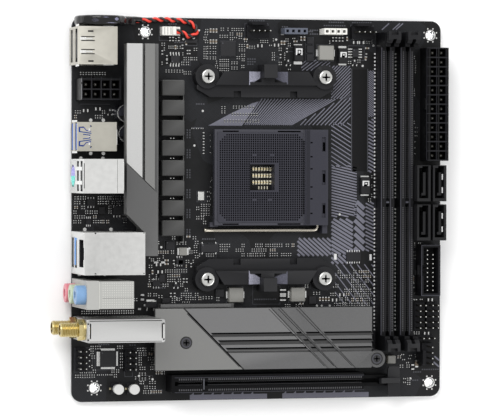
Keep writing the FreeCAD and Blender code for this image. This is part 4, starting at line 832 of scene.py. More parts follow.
def memory_slot_details(slot):
    """Contact ribs on both walls and in the groove, a lit left edge, the key and the row of solder pads."""
    name = f"dimm_slot_{slot}"
    left = span(name)[0][0]
    low, high = span(name)[1]
    top = 10.0
    ribs, edge, pads = Shape(), Shape(), Shape()
    foot = 0.2 if slot == 1 else 2.6
    pitch = 0.85
    runs = ((low + 8.6, 86.6), (90.0, high - 8.0))
    for start, end in runs:
        count = int((end - start) / pitch)
        for i in range(count):
            y = start + pitch * i
            for offset, width, z in ((0.95, 0.55, raised(0.05, top)), (5.05, 0.6, raised(0.05, top)),
                                     (3.7, 0.22, (4.2, top - 0.4)), (2.48, 0.22, (4.2, top - 0.4))):
                ribs.block((left + offset, left + offset + width), (y, y + 0.42), z)
            if i % 2 == 0:
                pads.block((left - 0.9, left - 0.2), (y - 0.05, y + 0.75), raised(foot), 0.1)
    # painted highlight: grey strips along the lit top edges and on the key
    edge.block((left + 0.02, left + 0.34), (low + 6.8, high - 6.8), (top - 0.05, top + 0.06), 0.04)
    edge.block((left + 4.35, left + 4.6), (low + 6.8, high - 6.8), (top - 0.05, top + 0.05), 0.03)
    edge.block((left + 2.5, left + 3.9), (87.8, 88.5), (top - 0.3, top + 0.04), 0.04)
    ribs.piece(name + "_contacts", CONTACT_GREY, "slot_plastic")
    edge.piece(name + "_edges", EDGE_HIGHLIGHT_GREY, "slot_plastic")
    pads.piece(name + "_pads", WHITE_PRINT_AND_HIGHLIGHT, "tin")


def expansion_slot_details():
    top = span("pcie_slot")[2][1]
    ribs = Shape()
    for start, count in ((46.0, 11), (59.4, 71)):
        for i in range(count):
            x = start + i
            for y in (4.95, 9.65):
                ribs.slab(x, y, 0.45, 0.8, raised(0.05, top))
            for y in (7.42, 8.78):
                ribs.slab(x, y, 0.45, 0.2, (5.0, top - 0.5))
    ribs.piece("pcie_contacts", CONTACT_GREY, "slot_plastic")
    key = Shape()
    key.block((57.0, 57.6), (5.4, 10.4), (top - 0.3, top + 0.06), 0.05)
    key.piece("pcie_key", SILK_DIM, "slot_plastic")
    # painted highlight: grey strips along the slot's two top edges
    edges = Shape()
    for y in (4.2, 10.75):
        edges.block((44.0, 131.0), (y, y + 0.18), (top - 0.04, top + 0.05), 0.03)
    edges.piece("pcie_edges", EDGE_HIGHLIGHT_GREY, "slot_plastic")


def power_header_details():
    """Raised rims round each pocket of the two power headers and the latch bars on their sides, both lighter
    as painted highlight.
    """
    rims = Shape()
    for name, columns, rows in (("cpu_power_header", 4, 2), ("atx_power_header", 2, 12)):
        x, y, z = span(name)
        body_x = (x[0], x[0] + columns * 4.2 + 1.1)
        body_y = (y[0], y[0] + rows * 4.2 + 1.1)
        for i in range(columns + 1):
            level = body_x[0] + 0.15 + i * (body_x[1] - body_x[0] - 0.5) / columns
            rims.block((level, level + 0.2), (y[0] + 0.3, y[1] - 0.3), (z[1] - 0.05, z[1] + 0.04), 0.03)
        for i in range(rows + 1):
            level = body_y[0] + 0.15 + i * (min(body_y[1], y[1]) - body_y[0] - 0.5) / rows
            rims.block((x[0] + 0.3, x[1] - 0.3), (level, level + 0.2), (z[1] - 0.05, z[1] + 0.04), 0.03)
    rims.piece("power_header_rims", RIM_PAINTED_HIGHLIGHT, "power_plastic")
    # painted highlight: the lit left side face of the header, as light grey plates
    latch = Shape()
    for y in ((133.2, 140.1), (140.8, 142.5)):
        latch.block((1.62, 1.95), y, (9.0, 14.46), 0.05)
    latch.piece("power_header_latch", LATCH_PAINTED_HIGHLIGHT, "power_plastic")


def usb_header_details():
    x, y, z = span("usb3_header")
    lines = Shape()
    # painted highlight: a grey rim round the header's top
    lines.outline((x[0] + 0.05, x[1] - 0.05), (y[0] + 0.05, y[1] - 0.05), 0.2, (z[1] - 0.03, z[1] + 0.04))
    lines.piece("usb3_header_rim", EDGE_HIGHLIGHT_GREY, "header_plastic")


def white_socket_details():
    """Slots and seams in the white battery and lighting connectors, drawn grey as painted shade."""
    seams = Shape()
    z = span("white_sockets")[2]
    for offset in (1.0, 2.4, 3.8):
        seams.block((39.6 + offset, 39.8 + offset), (162.4, 165.6), (6.58, 6.63))
    for i in range(4):
        left = 113.5 + i * 2.6
        seams.block((left + 0.9, left + 1.5), (164.3, 164.9), raised(0.03, z[1]))
        seams.block((left + 2.35, left + 2.5), (163.4, 165.7), raised(0.03, z[1]))
    seams.piece("white_socket_seams", SEAM_SHADE_GREY, "white_plastic")


# ---------------------------------------------------------------- rear panel


def outward(y, reach, centre):
    """A y span from a shell's side wall, away from its centre."""
    return (y, y + reach) if y > centre else (y - reach, y)


def rear_shell_details():
    """Spring bumps, seams and folded flanges on the steel shells of the rear sockets; the seams are painted
    shade.
    """
    bumps, lines, flanges = Shape(), Shape(), Shape()
    display, usb, stack, cage = (span(n) for n in ("display_shell", "usb_dual_shell", "ps2_usb_shell",
                                                   "wifi_cage"))
    top = display[2][1]
    for y in (159.55, 153.9):
        bumps.block((1.6, 5.2), (y - 0.5, y + 0.5), (top - 0.05, top + 0.28), 0.25)
    for y in (148.4, 165.0):
        flanges.block((10.2, 14.8), outward(y, 0.25, 150), (10.0, top - 2.0))
        flanges.block((-1.2, -0.9), outward(y, 0.9, 150), (16.0, top), 0.05)
    top = usb[2][1]
    for y in (113.9, 120.1):
        bumps.block((4.2, 5.3), (y - 0.75, y + 0.75), (top - 0.05, top + 0.25), 0.25)
    bumps.block((4.6, 5.3), (116.8, 117.4), (top - 0.05, top + 0.2), 0.15)
    flanges.block((16.75, 17.1), (113.4, 120.2), (6.0, top + 0.05), 0.05)
    for y in (110.7, 123.4):
        flanges.block((-0.7, -0.4), outward(y, 0.9, 115), (5.0, top - 1.5), 0.05)
    top = stack[2][1]
    flanges.block((16.6, 17.0), (93.6, 106.0), (4.0, top + 0.02), 0.05)
    top = cage[2][1]
    lines.block((1.4, 33.4), (37.2, 37.5), raised(0.04, top))
    lines.block((1.4, 33.4), (28.3, 28.5), raised(0.04, top))
    for x in (0.5, 33.9):
        for y in (29.2, 36.1):
            lines.block((x, x + 0.6), (y - 0.35, y + 0.35), raised(0.05, top))
    for x in (1.0, 34.0):
        bumps.block((x, x + 0.35), (30.0, 35.6), raised(0.12, top), 0.05)
    for i in range(23):
        x = 3.0 + i * 1.3
        bumps.block((x, x + 0.5), (37.9, 38.3), (13.2, 14.4), 0.1)
    bumps.piece("shell_springs", BRIGHT, "silver_shell", bevel=0.08)
    lines.piece("shell_seams", SHADE_AND_PRINT_BLACK, "silver_shell")
    flanges.piece("shell_flanges", BRIGHT, "silver_shell", bevel=0.05)


def port_contacts():
    """Gold contacts under each USB tongue and inside the network and display openings."""
    gold = Shape()
    for centre_y, levels in ((117.05, (5.2, 13.9)), (99.85, (19.5, 27.6)), (66.25, (5.0, 12.0))):
        for level in levels:
            for i in range(4):
                y = centre_y - 3.75 + 2.5 * i
                gold.block((1.2, 7.0), (y - 0.5, y + 0.5), (level - 0.03, level + 0.22), 0.03)
    for i in range(8):
        y = 66.25 - 3.57 + 1.02 * i
        gold.block((3.5, 14.0), (y - 0.2, y + 0.2), (19.3, 19.6), 0.03)
    for centre_y, level, count, pitch in ((156.7, 5.75, 10, 1.0), (156.7, 16.15, 9, 1.1)):
        for i in range(count):
            y = centre_y + (i - (count - 1) / 2) * pitch
            gold.block((0.6, 6.0), (y - 0.25, y + 0.25), (level - 0.15, level + 0.1), 0.03)
    gold.piece("port_contacts", FINISH["gold_pin"], "gold_pin")


def audio_details():
    """The audio block's stippled top, its bezel edge, and the seam behind the jacks in grey as painted shade.
    """
    z = span("audio_block")[2]
    top = z[1] - 0.2
    dots = Shape()
    for i in range(14):
        for j in range(11):
            dots.block((6.9 + i, 7.4 + i), (43.2 + j * 1.02, 43.7 + j * 1.02), (top - 0.03, top + 0.06), 0.12)
    dots.piece("audio_stipple", AUDIO_LIGHT, "audio_housing")
    seams = Shape()
    seams.block((7.0, 20.4), (47.2, 47.35), raised(0.03, top))
    for place in (0.6, 2.4, 5.4):
        seams.block((place, place + 0.5), (54.2, 54.72), raised(0.04, top))
    seams.piece("audio_seams", SEAM_SHADE_GREY, "audio_housing")
    edge = Shape()
    edge.block((5.3, 5.75), (42.5, 54.5), (top - 0.03, top + 0.14), 0.08)
    edge.block((0.15, 0.5), (42.5, 54.5), (z[1] - 0.1, z[1] - 0.02), 0.04)
    edge.piece("audio_ridge", AUDIO_LIGHT, "audio_housing", bevel=0.04)


def antenna_sockets():
    """Gold coaxial sockets: a fine outside thread, a bore with its centre pin, and a plain shank."""
    sockets, pins = Shape(), Shape()
    front, shank, back = -10.6, -2.7, span("antenna_jacks")[0][1]
    pitch, crest, root = 0.72, 3.17, 2.86
    profile = [(0.0, front + 6.0), (2.3, front + 6.0), (2.3, front), (2.8, front)]
    turn = front + 0.35
    while turn + pitch < shank:
        profile += [(root, turn), (crest, turn + pitch * 0.4), (crest, turn + pitch * 0.55)]
        turn += pitch
    profile += [(root, shank), (3.0, shank), (3.0, back), (0.0, back)]
    for z in (10.0, 28.8):
        sockets.lathe(profile, (0.0, 33.4, z), "x", 32)
        pins.lathe([(0.0, front + 5.9), (0.55, front + 5.9), (0.55, front + 1.2), (0.0, front + 0.9)],
                   (0.0, 33.4, z), "x", 12)
        pins.lathe([(0.0, front + 5.6), (1.7, front + 5.6), (1.7, front + 5.9), (0.0, front + 5.9)],
                   (0.0, 33.4, z), "x", 20)
    piece = sockets.piece("antenna_sockets", FINISH["gold"], "gold", smooth=True)
    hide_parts("antenna_jacks")
    pins.piece("antenna_pins", FINISH["gold_pin"], "gold_pin", smooth=True)


# ---------------------------------------------------------------- coolers, screws and capacitors


def cross_recess(shape, x, y, z, reach, depth=0.05):
    for dx, dy in ((reach, 0.28), (0.28, reach)):
        shape.pad(x, y, dx, dy, (z - depth, z + 0.03))


def screw_details():
    """Crossed recesses in the bracket and M.2 cover screws as painted shade, and a painted-highlight ring
    round the cover's two.
    """
    recess, rings = Shape(), Shape()
    top = span("bracket_screws")[2][1]
    for x, y in COOLER_HOLES:
        cross_recess(recess, x, y, top, 1.5)
        recess.disc(x, y, 0.7, (top - 0.05, top + 0.02))
    top = span("m2_cover_screws")[2][1]
    for x, y in ((49.1, 26.3), (136.7, 18.1)):
        cross_recess(recess, x, y, top, 0.9)
        rings.ring(x, y, 2.1, 1.75, (top - 0.03, top + 0.04), 24)
    recess.piece("screw_recesses", SHADE_AND_PRINT_BLACK, "bright_screw")
    rings.piece("m2_screw_rings", EDGE_HIGHLIGHT_GREY, "bright_screw")


def capacitor_details():
    """Polarity crescents and silver rims on the round capacitors."""
    crescents, rims = Shape(), Shape()
    for x, y in ((22.4, 127.4), (22.9, 118.4)):
        rims.ring(x, y, 3.9, 3.45, (10.36, 10.46), 32)
        crescents.prism(half_disc(x, y, 3.1, 200, 340), (10.36, 10.44))
    for x, y in CANS:
        rims.ring(x, y, 2.25, 1.95, (7.36, 7.45), 28)
    rims.piece("capacitor_rims", BRIGHT, "can")
    crescents.piece("capacitor_marks_round", GLOSS_BLACK, "can")
    feet = Shape()
    for x, y in CANS:
        feet.block((x - 3.2, x - 2.4), (y - 0.45, y + 0.45), raised(0.25))
        feet.ring(x, y, 3.0, 2.75, SILK_Z, 28, (-60, 60))
    feet.piece("capacitor_feet", PALE_GOLD, "tin")


def half_disc(x, y, radius, start, end, steps=14):
    """A segment of a disc between two angles, as an outline."""
    angles = [math.radians(start + (end - start) * i / steps) for i in range(steps + 1)]
    return [(x + radius * math.cos(a), y + radius * math.sin(a)) for a in angles]


def choke_details():
    """The clamped ends of each power choke, and a bright edge on its right side."""
    clamps = Shape()
    for i in range(8):
        y = 73.3 + CHOKE_PITCH * i
        clamps.block((49.15, 49.55), (y - 2.6, y + 2.6), (TOP, 6.4), 0.08)
        for offset in (-3.05, 2.55):
            clamps.block((48.0, 49.3), (y + offset, y + offset + 0.5), (TOP, 5.0), 0.05)
    clamps.piece("choke_clamps", CLAMP_GREY, "choke")


def battery_details():
    """Heat-shrink seams along the cell's edge, glints on its folds, and a sleeve over the crimped tail."""
    seams = Shape()
    cx, cz, radius = 10.4, 13.0, 11.36
    middle_y = 167.8
    for level in (middle_y - 0.25, middle_y + 0.05):
        seams.ring_y(cx, cz, radius + 0.02, radius - 0.3, (level, level + 0.2), 64, (-200, 20))
    seams.piece("battery_seam", GLOSS_BLACK, "shrink_wrap", smooth=True)
    folds = Shape()
    for start, width, y, half in ((4.5, 3.2, 167.6, 0.8), (14.6, 1.9, 168.2, 0.7), (9.2, 2.6, 168.9, 0.12),
                                  (11.0, 4.0, 166.5, 0.12)):
        for k in range(8):
            x = start + width * k / 8
            z = cz + math.sqrt(radius ** 2 - (x - cx) ** 2)
            reach = half * math.sin(math.pi * (k + 0.5) / 8)
            folds.block((x, x + width / 7), (y - reach, y + reach), (z - 0.3, z + 0.06))
    folds.piece("battery_wrap_folds", WRAP_GLINT, "shrink_wrap")
    sleeve = Shape()
    stations = ((21.5, 1.45, 8.6), (25.0, 1.45, 7.0), (28.0, 1.35, 5.8), (30.8, 1.15, 5.2))
    sides, low = 16, 2.3
    rings = [[(x, 168.9 + reach * math.cos(math.tau * k / sides),
               (high + low) / 2 + (high - low) / 2 * math.sin(math.tau * k / sides)) for k in range(sides)]
             for x, reach, high in stations]
    sleeve.add([point for ring in rings for point in ring], tube_faces(len(rings), sides))
    sleeve.piece("battery_tail_sleeve", FINISH["shrink_wrap"], "shrink_wrap", smooth=True)


# ---------------------------------------------------------------- the battery's lead

LEAD_ROUTE = [(27.6, 168.5, 3.8), (32.4, 168.5, 3.8), (38.0, 169.2, 3.1), (44.4, 169.1, 3.0),
              (49.6, 168.7, 3.0), (53.4, 167.9, 3.0), (55.9, 165.8, 3.0), (55.9, 163.2, 3.2),
              (53.5, 161.6, 3.9), (50.8, 162.0, 5.0), (48.5, 163.8, 5.8), (45.9, 163.8, 5.8)]
STRAND_R = 0.00058
TWIST_R = 0.00058
TWIST_PITCH = 0.0054


def tube_faces(count, sides):
    """Faces of a closed tube over a number of rings of points."""
    faces = []
    for first in range(0, (count - 1) * sides, sides):
        for k in range(sides):
            after = (k + 1) % sides
            faces.append((first + k, first + after, first + sides + after, first + sides + k))
    return faces + [tuple(range(sides))[::-1], tuple(range((count - 1) * sides, count * sides))]


def lead_path():
    """Points in the row frame along the smooth line of the route."""
    curve = bpy.data.curves.new("lead_route", "CURVE")
    curve.dimensions = "3D"
    curve.resolution_u = 10
    spline = curve.splines.new("NURBS")
    spline.points.add(len(LEAD_ROUTE) - 1)
    for point, place in zip(spline.points, LEAD_ROUTE):
        point.co = (*at(*place), 1.0)
    spline.order_u = 3
    spline.use_endpoint_u = True
    route = bpy.data.objects.new("lead_route", curve)
    line = bpy.data.meshes.new_from_object(route)
    points = [v.co.copy() for v in line.vertices]
    bpy.data.objects.remove(route)
    return points


def strand(path, phase):
    """A round wire that winds round the path, as rings of points in metres, and its faces."""
    sides = 10
    points = []
    travelled = 0.0
    side = Vector((0, 0, 1))
    centres = []
    for i, place in enumerate(path):
        ahead = path[min(i + 1, len(path) - 1)] - path[max(i - 1, 0)]
        tangent = ahead.normalized()
        if i:
            travelled += (place - path[i - 1]).length
        side = (side - tangent * side.dot(tangent)).normalized()
        other = tangent.cross(side)
        angle = 2 * math.pi * travelled / TWIST_PITCH + phase
        centres.append(place + (side * math.cos(angle) + other * math.sin(angle)) * TWIST_R)
    for i, centre in enumerate(centres):
        ahead = (centres[min(i + 1, len(centres) - 1)] - centres[max(i - 1, 0)]).normalized()
        normal = (side - ahead * side.dot(ahead)).normalized()
        other = ahead.cross(normal)
        for k in range(sides):
            turn = 2 * math.pi * k / sides
            points.append(centre + (normal * math.cos(turn) + other * math.sin(turn)) * STRAND_R)
    return points, tube_faces(len(centres), sides)


def battery_lead():
    """The twisted pair: one mesh of two wires, red and black."""
    path = lead_path()
    points, faces, colours = [], [], []
    for index, phase in enumerate((0.0, math.pi)):
        ring_points, ring_faces = strand(path, phase)
        base = len(points)
        points += ring_points
        faces += [tuple(base + k for k in face) for face in ring_faces]
        colours += [index] * len(ring_faces)
    mesh = bpy.data.meshes.new("battery_strands")
    mesh.from_pydata([tuple(p) for p in points], [], faces)
    mesh.materials.append(FINISH["wire"])
    mesh.materials.append(BLACK_WIRE)
    mesh.polygons.foreach_set("material_index", colours)
    mesh.update()
    shade(mesh, 60)
    lead = add_object("battery_strands", mesh)
    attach(lead, "root")
    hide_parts("battery_lead")


# ---------------------------------------------------------------- underside


def solder_tails():
    """Cones of solder where the through-hole parts come out under the board."""
    tails = Shape()

    def row(x, y, columns, rows, step_x, step_y, radius=0.55):
        for place in grid((x, y, columns, rows, step_x, step_y)):
            tails.lathe([(0, 0.02), (radius, 0.02), (radius * 0.55, -0.6), (0.18, -1.1), (0, -1.1)],
                        (*place, 0.0), "z", 6)

    for name in ("dimm_slot_1", "dimm_slot_2"):
        left = span(name)[0][0]
        row(left + 1.2, 30.4, 1, 34, 0, 1.7, 0.45)
        row(left + 4.4, 31.2, 1, 34, 0, 1.7, 0.45)
        row(left + 1.2, 91.4, 1, 38, 0, 1.7, 0.45)
        row(left + 4.4, 92.2, 1, 38, 0, 1.7, 0.45)
    for y in (5.0, 7.0, 9.0, 11.0):
        row(46.0 + (y % 4) / 4, y, 42, 1, 2.0, 0, 0.45)
    for place in ((162.9, 109.2, 2, 12, 4.2, 4.2, 0.9), (3.9, 135.6, 4, 2, 4.2, 4.2, 0.9),
                  (158.27, 31.37, 2, 5, 2.54, 2.54), (164.17, 31.37, 2, 5, 2.54, 2.54),
                  (4.0, 112.4, 4, 2, 2.6, 8.6, 0.6), (4.0, 93.8, 4, 2, 2.6, 12.0, 0.6),
                  (6.0, 59.0, 6, 2, 2.6, 14.0, 0.6), (4.0, 44.0, 5, 3, 3.4, 4.6, 0.6),
                  (4.5, 150.2, 5, 4, 2.2, 4.2, 0.5), (160.0, 47.6, 2, 10, 4.0, 2.0, 0.45),
                  (156.4, 72.6, 7, 4, 1.27, 8.6, 0.4)):
        row(*place)
    for i in range(8):
        row(41.0, 73.3 + CHOKE_PITCH * i, 2, 1, 6.0, 0, 1.3)
    tails.piece("solder_tails", SOLDER, "tin", smooth=True)


def backplate_details():
    """The four threaded collars on the backplate."""
    ribs = Shape()
    for x, y in COOLER_HOLES:
        ribs.ring(x, y, 3.4, 1.7, (-2.0, -1.9), 24)
    ribs.piece("backplate_collars", BRIGHT, "backplate")


def underside_printing():
    marks = Shape()
    low = (-0.03, 0.02)
    marks.outline((49.0, 124.6), (44.0, 154.0), 0.25, low)
    for i in range(7):
        marks.block((20.0 + i * 2.2, 21.2 + i * 2.2), (20.0, 21.4), low)
    marks.outline((18.0, 40.0), (16.0, 26.0), 0.2, low)
    marks.piece("underside_printing", SILK, "board")


# ---------------------------------------------------------------- finishing touches seen from above


def islands(node):
    """Boxes, in board mm, of a CAD node's separate solids."""
    obj = frame["nodes"][node]
    parent = list(range(len(obj.data.vertices)))

    def root_of(i):
        while parent[i] != i:
            parent[i] = parent[parent[i]]
            i = parent[i]
        return i

    place = obj.matrix_world
    points = [(place @ v.co - BOARD_LOW) / MM for v in obj.data.vertices]
    first = {}
    for i, point in enumerate(points):
        key = tuple(round(c, 3) for c in point)
        parent[i] = first.setdefault(key, i)
    for edge in obj.data.edges:
        a, b = (root_of(v) for v in edge.vertices)
        parent[a] = b
    groups = {}
    for i, point in enumerate(points):
        groups.setdefault(root_of(i), []).append(point)
    return [[(min(p[k] for p in group), max(p[k] for p in group)) for k in range(3)]
            for group in groups.values()]


def pin_tips():
    """A small bright cut end on top of each pin, whose dark body is painted shade."""
    tips = Shape()
    for node, half in (("header_pins", 0.22), ("power_pins", 0.1)):
        for x, y, z in islands(node):
            cx, cy = middle(x), middle(y)
            tips.pad(cx, cy, half, half, raised(0.04, z[1]), 0.02)
    tips.piece("pin_tips", BRIGHT, "gold_pin")


def bracket_patches():
    """Speckled faces of the sloping pocket sides in the two cooler brackets: the left ones painted light, the
    right ones painted shade.
    """
    left, right = Shape(), Shape()
    for shape, near, far, outer, inner in ((left, 78.6, 84.2, 6.1, 2.9), (right, 96.4, 90.6, 5.7, 2.9)):
        for sign in (1, -1):
            high_z, low_z = 9.17, 7.02
            edge = 99.0 + sign * 47.3
            shape.add([(near, edge, high_z), (near, edge - sign * outer, high_z),
                       (far, edge - sign * inner, low_z), (far, edge, low_z),
                       (near, edge, high_z - 0.08), (near, edge - sign * outer, high_z - 0.08),
                       (far, edge - sign * inner, low_z - 0.08), (far, edge, low_z - 0.08)],
                      [(0, 1, 2, 3), (7, 6, 5, 4), (0, 4, 5, 1), (1, 5, 6, 2), (2, 6, 7, 3), (3, 7, 4, 0)])
    left.piece("bracket_lit_faces", SPECKLED_PAINTED_LIGHT, "bracket")
    right.piece("bracket_dim_faces", SPECKLED_PAINTED_SHADE, "bracket")


def cover_grooves():
    """Stepped grooves along the M.2 cover, broken by three slanting ridges: flat sheets of painted shadow and
    slope shade.
    """
    deep, shallow = Shape(), Shape()
    level = (13.57, 13.63)

    def slant(foot, y):
        return foot + 41.1 - y

    for y, start in ((30.55, 60.2), (27.25, 63.4), (23.85, 66.8)):
        stops = [start]
        for foot in (86.4, 90.8, 99.1):
            stops += [slant(foot, y), slant(foot, y) + 2.1]
        stops.append(134.0)
        for a, b in zip(stops[::2], stops[1::2]):
            edges = [[(a + shift, y - drop), (b + shift, y - drop)]
                     for shift, drop in ((0, 0), (0.6, 0.65), (1.1, 1.2))]
            for shape, upper, lower in ((deep, edges[0], edges[1]), (shallow, edges[1], edges[2])):
                shape.prism(lower + upper[::-1], level)
    for foot in (86.4, 90.8, 99.1):
        deep.strip((foot + 0.2, 40.9), (slant(foot, 15.2), 15.2), 0.22, level)
    deep.strip((50.1, 39.4), (74.1, 15.4), 0.5, (13.2, 13.3))
    shallow.strip((49.5, 39.2), (73.3, 15.4), 0.5, (13.2, 13.28))
    deep.piece("cover_groove_shadows", SHADE_AND_PRINT_BLACK, "cover_aluminium")
    shallow.piece("cover_groove_slopes", GROOVE_SLOPE_SHADE, "cover_aluminium")


def port_faces():
    """Bars across the twin USB openings, blue tongues and springs, shell notches of painted shade, and
    painted spring highlights.
    """
    bars, blue, springs, dark = Shape(), Shape(), Shape(), Shape()
    for y in ((102.3, 103.9), (96.2, 97.8)):
        bars.block((-1.0, -0.86), y, (14.5, 29.5))
    bars.piece("usb_bridges", BRIGHT, "silver_shell")
    for y in (1, -1):
        route = [(x, USB_MIDDLE_Y + y * reach)
                 for x, reach in ((0.1, 2.3), (0.1, 3.9), (2.3, 3.9), (3.2, 2.7), (5.4, 2.2))]
        for a, b in zip(route, route[1:]):
            springs.strip(a, b, 0.36, (17.36, 17.44))
        notch = USB_MIDDLE_Y + y * 4.4
        dark.block((5.3, 5.7), (notch - 0.2, notch + 0.2), (17.38, 17.44))
    blue.block((-0.32, 5.5), (60.9, 73.4), (9.2, 13.8), 0.2)
    blue.piece("port_tongues", BLUE_TONGUE, "blue_plastic")
    springs.piece("blue_springs", DEEP_BLUE, "blue_plastic")
    for x in (4.6, 26.0):
        for y in (57.75, 75.25):
            dark.pad(x, y, 0.3, 0.15, (31.56, 31.63))
    dark.block((-0.78, -0.45), (94.6, 105.4), (32.57, 32.63))
    dark.piece("shell_notches", SHADE_AND_PRINT_BLACK, "silver_shell")
    # painted highlight: flat white patches on the display socket's springs
    shine = Shape()
    for y in (153.9, 159.6):
        for x in (-0.5, 0.45, 1.4):
            shine.block((x, x + 0.75), (y - 0.6, y + 0.6), (22.55, 22.66), 0.03)
    shine.piece("display_spring_shine", WHITE_PRINT_AND_HIGHLIGHT, "silver_shell")
    # painted shade: a grey line along the shell's fold
    fold = Shape()
    fold.block((13.95, 14.1), (92.6, 107.1), (32.57, 32.63))
    fold.piece("shell_fold", SEAM_SHADE_GREY, "silver_shell")


def sideways_chips():
    """Small black chips that stand among the loose parts, each with pale leads."""
    bodies, leads = Shape(), Shape()
    chips = (((125.6, 132.4), (61.4, 65.6)), ((6.6, 10.4), (86.6, 89.6)), ((18.2, 22.2), (82.4, 86.0)),
             ((47.0, 50.2), (60.6, 63.4)), ((36.2, 39.8), (50.8, 53.6)), ((6.2, 8.6), (78.4, 81.0)))
    for x, y in chips:
        bodies.block(x, y, (TOP, TOP + 0.9), 0.1)
        count = max(3, int((x[1] - x[0]) / 1.1))
        for i in range(count):
            place = x[0] + (x[1] - x[0]) * (i + 0.5) / count
            for low, high in ((y[0] - 0.9, y[0]), (y[1], y[1] + 0.9)):
                leads.block((place - 0.2, place + 0.2), (low, high), raised(0.35), 0.04)
    for x, y in (((119.9, 121.2), (62.2, 64.9)), ((136.6, 137.6), (61.8, 64.6)), ((32.4, 33.6), (42.0, 43.0)),
                 ((31.0, 32.6), (44.6, 45.5)), ((31.0, 32.6), (46.6, 47.5)), ((29.8, 31.2), (40.4, 41.3)),
                 ((37.0, 39.0), (61.0, 61.9)), ((40.2, 42.0), (61.0, 61.9))):
        leads.block(x, y, raised(0.5), 0.08)
    bodies.piece("sideways_chip_bodies", RESISTOR, "chip_plastic")
    leads.piece("sideways_chip_leads", WHITE_PRINT_AND_HIGHLIGHT, "tin")


# zones of the board crowded with small parts: spans, and how full they are
CROWDED = (
    ((0.8, 24.6), (78.6, 91.6), 0.85), ((1.0, 30.0), (76.6, 78.4), 0.5), ((34.4, 57.0), (44.0, 73.6), 0.62),
    ((1.0, 23.6), (124.9, 130.8), 0.7), ((40.0, 57.0), (144.6, 161.6), 0.55),
    ((56.2, 101.6), (63.6, 71.6), 0.62), ((104.0, 137.6), (41.0, 59.5), 0.6),
    ((59.6, 78.4), (147.4, 166.4), 0.6), ((91.0, 101.6), (149.2, 162.8), 0.5),
    ((154.9, 158.4), (108.4, 158.0), 0.42), ((148.6, 157.6), (12.8, 20.4), 0.45),
    ((28.2, 42.6), (3.0, 25.4), 0.55), ((152.6, 156.4), (4.9, 8.9), 0.5), ((1.2, 28.0), (10.4, 26.0), 0.5),
    ((154.6, 158.6), (43.9, 70.2), 0.55), ((44.8, 66.0), (42.2, 47.8), 0.45),
    ((106.4, 127.0), (41.4, 48.8), 0.45), ((117.2, 137.8), (150.6, 161.8), 0.4),
    ((56.4, 63.2), (76.0, 94.0), 0.4), ((26.6, 30.2), (39.8, 47.6), 0.4),
    ((136.0, 138.4), (88.0, 101.0), 0.5))


def crowd_of_parts():
    """Seeded fill of the crowded zones: little groups of two-ended parts, kept clear of everything else."""
    chance = random.Random(41)
    floor = bpy.data.objects["floor"]
    trees = []
    for obj in bpy.context.scene.objects:
        if obj.type != "MESH" or "printed" in obj.name or obj in (frame["nodes"]["circuit_board"], floor):
            continue
        place = obj.matrix_world
        verts = [place @ v.co for v in obj.data.vertices]
        low = Vector([min(v[i] for v in verts) for i in range(3)])
        high = Vector([max(v[i] for v in verts) for i in range(3)])
        if (high - low).length > 1.0 or low.z > BOARD_HIGH.z + 0.012:
            continue
        trees.append((BVHTree.FromPolygons(verts, [tuple(p.vertices) for p in obj.data.polygons]), low, high))

    def is_clear(x, y, reach):
        centre = at(x, y, TOP + 0.4)
        for tree, low, high in trees:
            margin = reach * MM
            if all(low[i] - margin < centre[i] < high[i] + margin for i in range(3)):
                found = tree.find_nearest(centre, margin)
                if found[0] is not None:
                    return False
        return True

    bodies, tan_bodies, ends, marks = Shape(), Shape(), Shape(), Shape()
    used = set()
    pitch = 1.05
    for (x0, x1), (y0, y1), fill in CROWDED:
        columns, rows = int((x1 - x0) / pitch), int((y1 - y0) / (2 * pitch))
        for j in range(rows):
            i = 0
            while i < columns:
                run = chance.choice((2, 3, 4, 5))
                if chance.random() > fill:
                    i += run
                    continue
                upright = chance.random() < 0.6
                tan = chance.random() < 0.12
                for k in range(run):
                    x = x0 + (i + k + 0.5) * pitch
                    y = y0 + (j + 0.5) * 2 * pitch
                    if x > x1 or (round(x), round(y / 2)) in used or not is_clear(x, y, 0.85):
                        continue
                    used.add((round(x), round(y / 2)))
                    target = tan_bodies if tan else bodies
                    places = [(x, y)] if upright else [(x, y - 0.5), (x, y + 0.5)] if k % 2 == 0 else []
                    for place in places:
                        two_ended(target, ends, *place, upright, (-0.3, 0.3, 0.24), (0.28, 0.66, 0.27),
                                  0.38, 0.05)
                if chance.random() < 0.35 and run > 2 and is_clear(x0 + (i + run / 2) * pitch, y, 0.9):
                    left, right = x0 + i * pitch, min(x1, x0 + (i + run) * pitch)
                    marks.outline((left, right), (y - 1.02, y + 1.02), 0.12, SILK_Z)
                i += run + chance.choice((0, 0, 1))
    bodies.piece("crowd_bodies", RESISTOR, "chip_plastic")
    tan_bodies.piece("crowd_tan_bodies", CERAMIC, "chip_plastic")
    ends.piece("crowd_ends", SOLDER, "tin")
    marks.piece("printed_crowd_outlines", SILK_DIM, "board")


